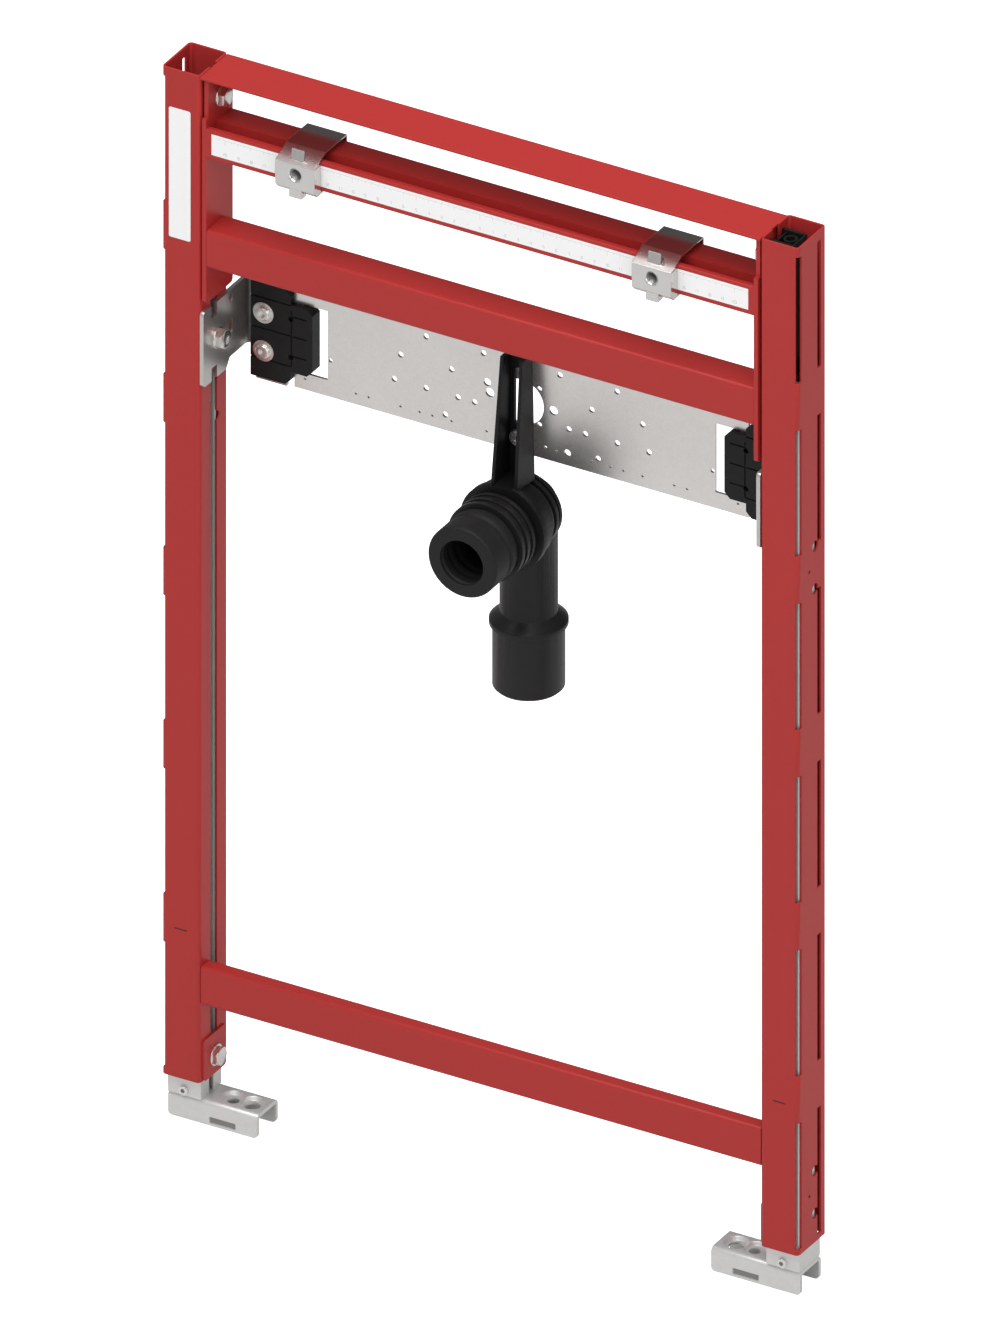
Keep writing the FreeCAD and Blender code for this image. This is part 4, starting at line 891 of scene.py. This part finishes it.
@dataclass(frozen=True)
class ScaleTape:
    """Measuring film on the front of the washbasin rail, numbered from the middle outwards."""

    half_length: float = 210.7 * MM
    low: float = 766.3 * MM
    high: float = 782.5 * MM
    face: float = -7.0 * MM
    thickness: float = 0.08 * MM
    print_height: float = 0.02 * MM
    step: float = 5.0 * MM
    line: float = 0.22 * MM
    line_drop: float = 2.2 * MM
    line_margin: float = 6.0 * MM
    ticks: tuple[float, float, float] = (3.6 * MM, 2.2 * MM, 1.2 * MM)
    digit_shift: float = 0.75
    digit: tuple[float, float] = (1.2 * MM, 2.2 * MM)
    digit_low: float = 2.0 * MM
    stroke: float = 0.3 * MM

    def marks(self) -> tuple[np.ndarray, np.ndarray]:
        """Centre and size in X and Z of the long line and of the ticks that hang from it."""
        top = self.high - self.line_drop
        count = int(self.half_length / self.step)
        index = np.arange(-count, count + 1)
        length = np.select([index % 10 == 0, index % 2 == 0], self.ticks[:2], self.ticks[2])
        centres = np.stack([MIDDLE + index * self.step, top - length / 2.0], axis=1)
        sizes = np.stack([np.full(len(index), self.line), length], axis=1)
        span = 2.0 * self.half_length - self.line_margin
        line = np.array([[MIDDLE, top]]), np.array([[span, self.line]])
        return np.concatenate([centres, line[0]]), np.concatenate([sizes, line[1]])

    def digits(self) -> tuple[np.ndarray, np.ndarray]:
        """Centre and size in X and Z of the strokes of all numbers.

        Each digit shows the lit ones of seven strokes, which lie at half and quarter heights of a
        cell of the width w and the height h. A number counts whole centimetres from the middle.

        Returns:
            Centres and sizes, one row for each stroke.
        """
        width, height = self.digit
        places = np.array([[0, 2], [1, 1], [1, -1], [0, -2], [-1, -1], [-1, 1], [0, 0]])
        level = places[:, 0] == 0
        offsets = places * np.array([width / 2.0, height / 4.0])
        strokes = np.where(level[:, None], [width, self.stroke], [self.stroke, height / 2.0])
        lit = np.array([[mark == "1" for mark in row] for row in LIT_STROKES])
        count = int(self.half_length / (2.0 * self.step)) - 1
        number = np.arange(-count, count + 1)
        tens, ones = np.divmod(np.abs(number), 10)
        shift = np.where(tens > 0, width * self.digit_shift, 0.0)
        values = np.concatenate([ones, tens[tens > 0]])
        across = MIDDLE + np.concatenate([number * 2.0 * self.step + shift,
                                          (number * 2.0 * self.step - shift)[tens > 0]])
        rise = self.low + self.digit_low + height / 2.0
        cells = np.stack([across, np.full(len(across), rise)], axis=1)
        shown = lit[values]
        centres = (cells[:, None, :] + offsets[None])[shown]
        return centres, np.broadcast_to(strokes[None], (len(values), 7, 2))[shown]

    def build(self, film: bpy.types.Material, ink: bpy.types.Material) -> None:
        """Make the film and its print.

        Args:
            film: finish of the film.
            ink: finish of the print.
        """
        front = self.face - self.thickness
        strip = Surface()
        strip.boxes(np.array([[MIDDLE - self.half_length, front, self.low]]),
                    np.array([[MIDDLE + self.half_length, self.face, self.high]]))
        strip.build("scale_tape", "frame", film)
        centres, sizes = (np.concatenate(pair) for pair in zip(self.marks(), self.digits()))
        low = np.insert(centres - sizes / 2.0, 1, front - self.print_height, axis=1)
        high = np.insert(centres + sizes / 2.0, 1, front, axis=1)
        printed = Surface()
        printed.boxes(low, high)
        printed.build("scale_print", "frame", ink)


@dataclass(frozen=True)
class Label:
    """Thin plate with rounded corners, fixed on a front face."""

    name: str
    body: str
    left: float
    right: float
    low: float
    high: float
    face: float
    thickness: float = 0.1 * MM
    corner: float = 1.5 * MM

    def outline(self) -> np.ndarray:
        """X and Z of the edge: quarter circles of the corner radius, joined by straight lines."""
        angle = np.linspace(0.0, 2.0 * np.pi, 32, endpoint=False) + np.pi / 32.0
        arm = np.stack([np.cos(angle), np.sin(angle)], axis=1)
        half = np.array([self.right - self.left, self.high - self.low]) / 2.0
        middle = np.array([self.right + self.left, self.high + self.low]) / 2.0
        return middle + np.sign(arm) * (half - self.corner) + arm * self.corner

    def build(self, material: bpy.types.Material, side: Side = Side.LEFT) -> bpy.types.Object:
        """Make the plate.

        Args:
            material: its finish.
            side: half of the frame that it belongs to.

        Returns:
            The finished object.
        """
        surface = Surface()
        surface.plate(self.outline(), self.face - self.thickness, self.face)
        body = self.body if self.body == "frame" else f"{side.body}_{self.body}"
        return surface.build(f"{side.body}_{self.name}", body, material, side)


FINISHES = {
    Slot.RED: PaintFinish("red_coat", (0.460, 0.033, 0.030), 0.38, 0.05, 1100.0, 0.08, 0.25),
    Slot.ZINC: ZincFinish("zinc_sheet", (0.70, 0.685, 0.67), 0.16, 0.95, 420.0, 0.02),
    Slot.BOLT: ZincFinish("zinc_bolt", (0.80, 0.79, 0.76), 0.22, 0.95, 900.0, 0.02),
    Trim.PLATE: ZincFinish("zinc_plate", (0.75, 0.725, 0.705), 0.30, 0.95, 300.0, 0.015),
    # Glossy zinc of the clamp straps, darker than the sheet: painted shade for the dark reflection
    # on the strap tops.
    Trim.BRIGHT: ZincFinish("zinc_strap_shaded", (0.62, 0.60, 0.59), 0.20, 0.97, 500.0, 0.01),
    Trim.MATT: ZincFinish("zinc_matt", (0.73, 0.735, 0.725), 0.38, 0.45, 420.0, 0.02),
    # Satin zinc of the carrier brackets, darker than the sheet: painted shade for the dark
    # reflections on their faces.
    Trim.SATIN_SHADED: ZincFinish("zinc_satin", (0.60, 0.58, 0.56), 0.34, 0.9, 420.0, 0.02),
    # Dark zinc of the clamp threads: painted shade inside the bores.
    Trim.SHADED: ZincFinish("zinc_thread_painted_shade", (0.36, 0.35, 0.34), 0.40, 0.9, 500.0, 0.02),
    Slot.BLACK: PaintFinish("black_moulding", (0.010, 0.010, 0.0105),
                            0.45, 0.2, 1400.0, 0.15, 0.22),
    Slot.DRAIN: PaintFinish("drain_moulding", (0.014, 0.014, 0.0145),
                            0.38, 0.15, 1100.0, 0.1, 0.22),
    Slot.RUBBER: PaintFinish("rubber", (0.015, 0.015, 0.015), 0.55, 0.2, 1300.0, 0.2, 0.2),
    Trim.PAPER: PaintFinish("white_film", (1.0, 1.0, 1.0), 0.35, 0.02, 700.0, 0.02, 0.3),
    Trim.INK: PaintFinish("scale_print", (0.60, 0.63, 0.62), 0.4, 0.02, 700.0, 0.02, 0.3),
    Trim.MARK: PaintFinish("level_print", (0.085, 0.014, 0.010), 0.5, 0.02, 900.0, 0.02, 0.3),
    # Dark mottled grey: painted shade in each foot's stamped recess, with the mottling in place of
    # its lettering, and painted shade at the floor of each foot screw's socket.
    Trim.RECESS_SHADE: PaintFinish("painted_recess_shade", (0.27, 0.265, 0.26), 0.5, 0.6, 900.0, 0.5, 0.3),
}

LABELS = (
    (Label("height_label", "frame", -9.2 * MM, 7.8 * MM, 693.0 * MM, 795.0 * MM, -7.0 * MM),
     Trim.PAPER, (Side.LEFT,)),
    (Label("level_mark", "frame", -5.0 * MM, 5.0 * MM, 150.5 * MM, 151.6 * MM, -7.0 * MM,
           0.02 * MM, 0.2 * MM),
     Trim.MARK, tuple(Side)),
    # A thin dark sheet in each foot's stamped recess: painted shade of the recess.
    (Label("stamp_floor", "leg", 19.5 * MM, 39.6 * MM, 2.0 * MM, 6.6 * MM, -0.5 * MM,
           0.03 * MM, 0.3 * MM),
     Trim.RECESS_SHADE, tuple(Side)),
)


def add_trim(materials: dict[Enum, bpy.types.Material]) -> None:
    """Build the bolts, threads, film and marks of both halves."""
    for side in Side:
        for bolt in CHANNEL_BOLTS:
            bolt.build(side, materials[Slot.BOLT])
        FootScrew().build(side, materials[Slot.BOLT], materials[Trim.RECESS_SHADE])
        ClampThread().build(side, materials[Trim.SHADED])
    DrainNipple().build(materials[Slot.RUBBER])
    GuideCap().build(materials[Slot.BLACK])
    ScaleTape().build(materials[Trim.PAPER], materials[Trim.INK])
    for label, finish, sides in LABELS:
        for side in sides:
            label.build(materials[finish], side)


def main() -> None:
    """Build the studio and dress the frame."""
    Studio().build()
    effects = Effects()
    materials = {slot: finish.build(effects) for slot, finish in FINISHES.items()}
    dress_nodes(materials)
    add_trim(materials)
    log.info("dressed %d nodes", len(frame["nodes"]))


if __name__ == "__main__":
    main()
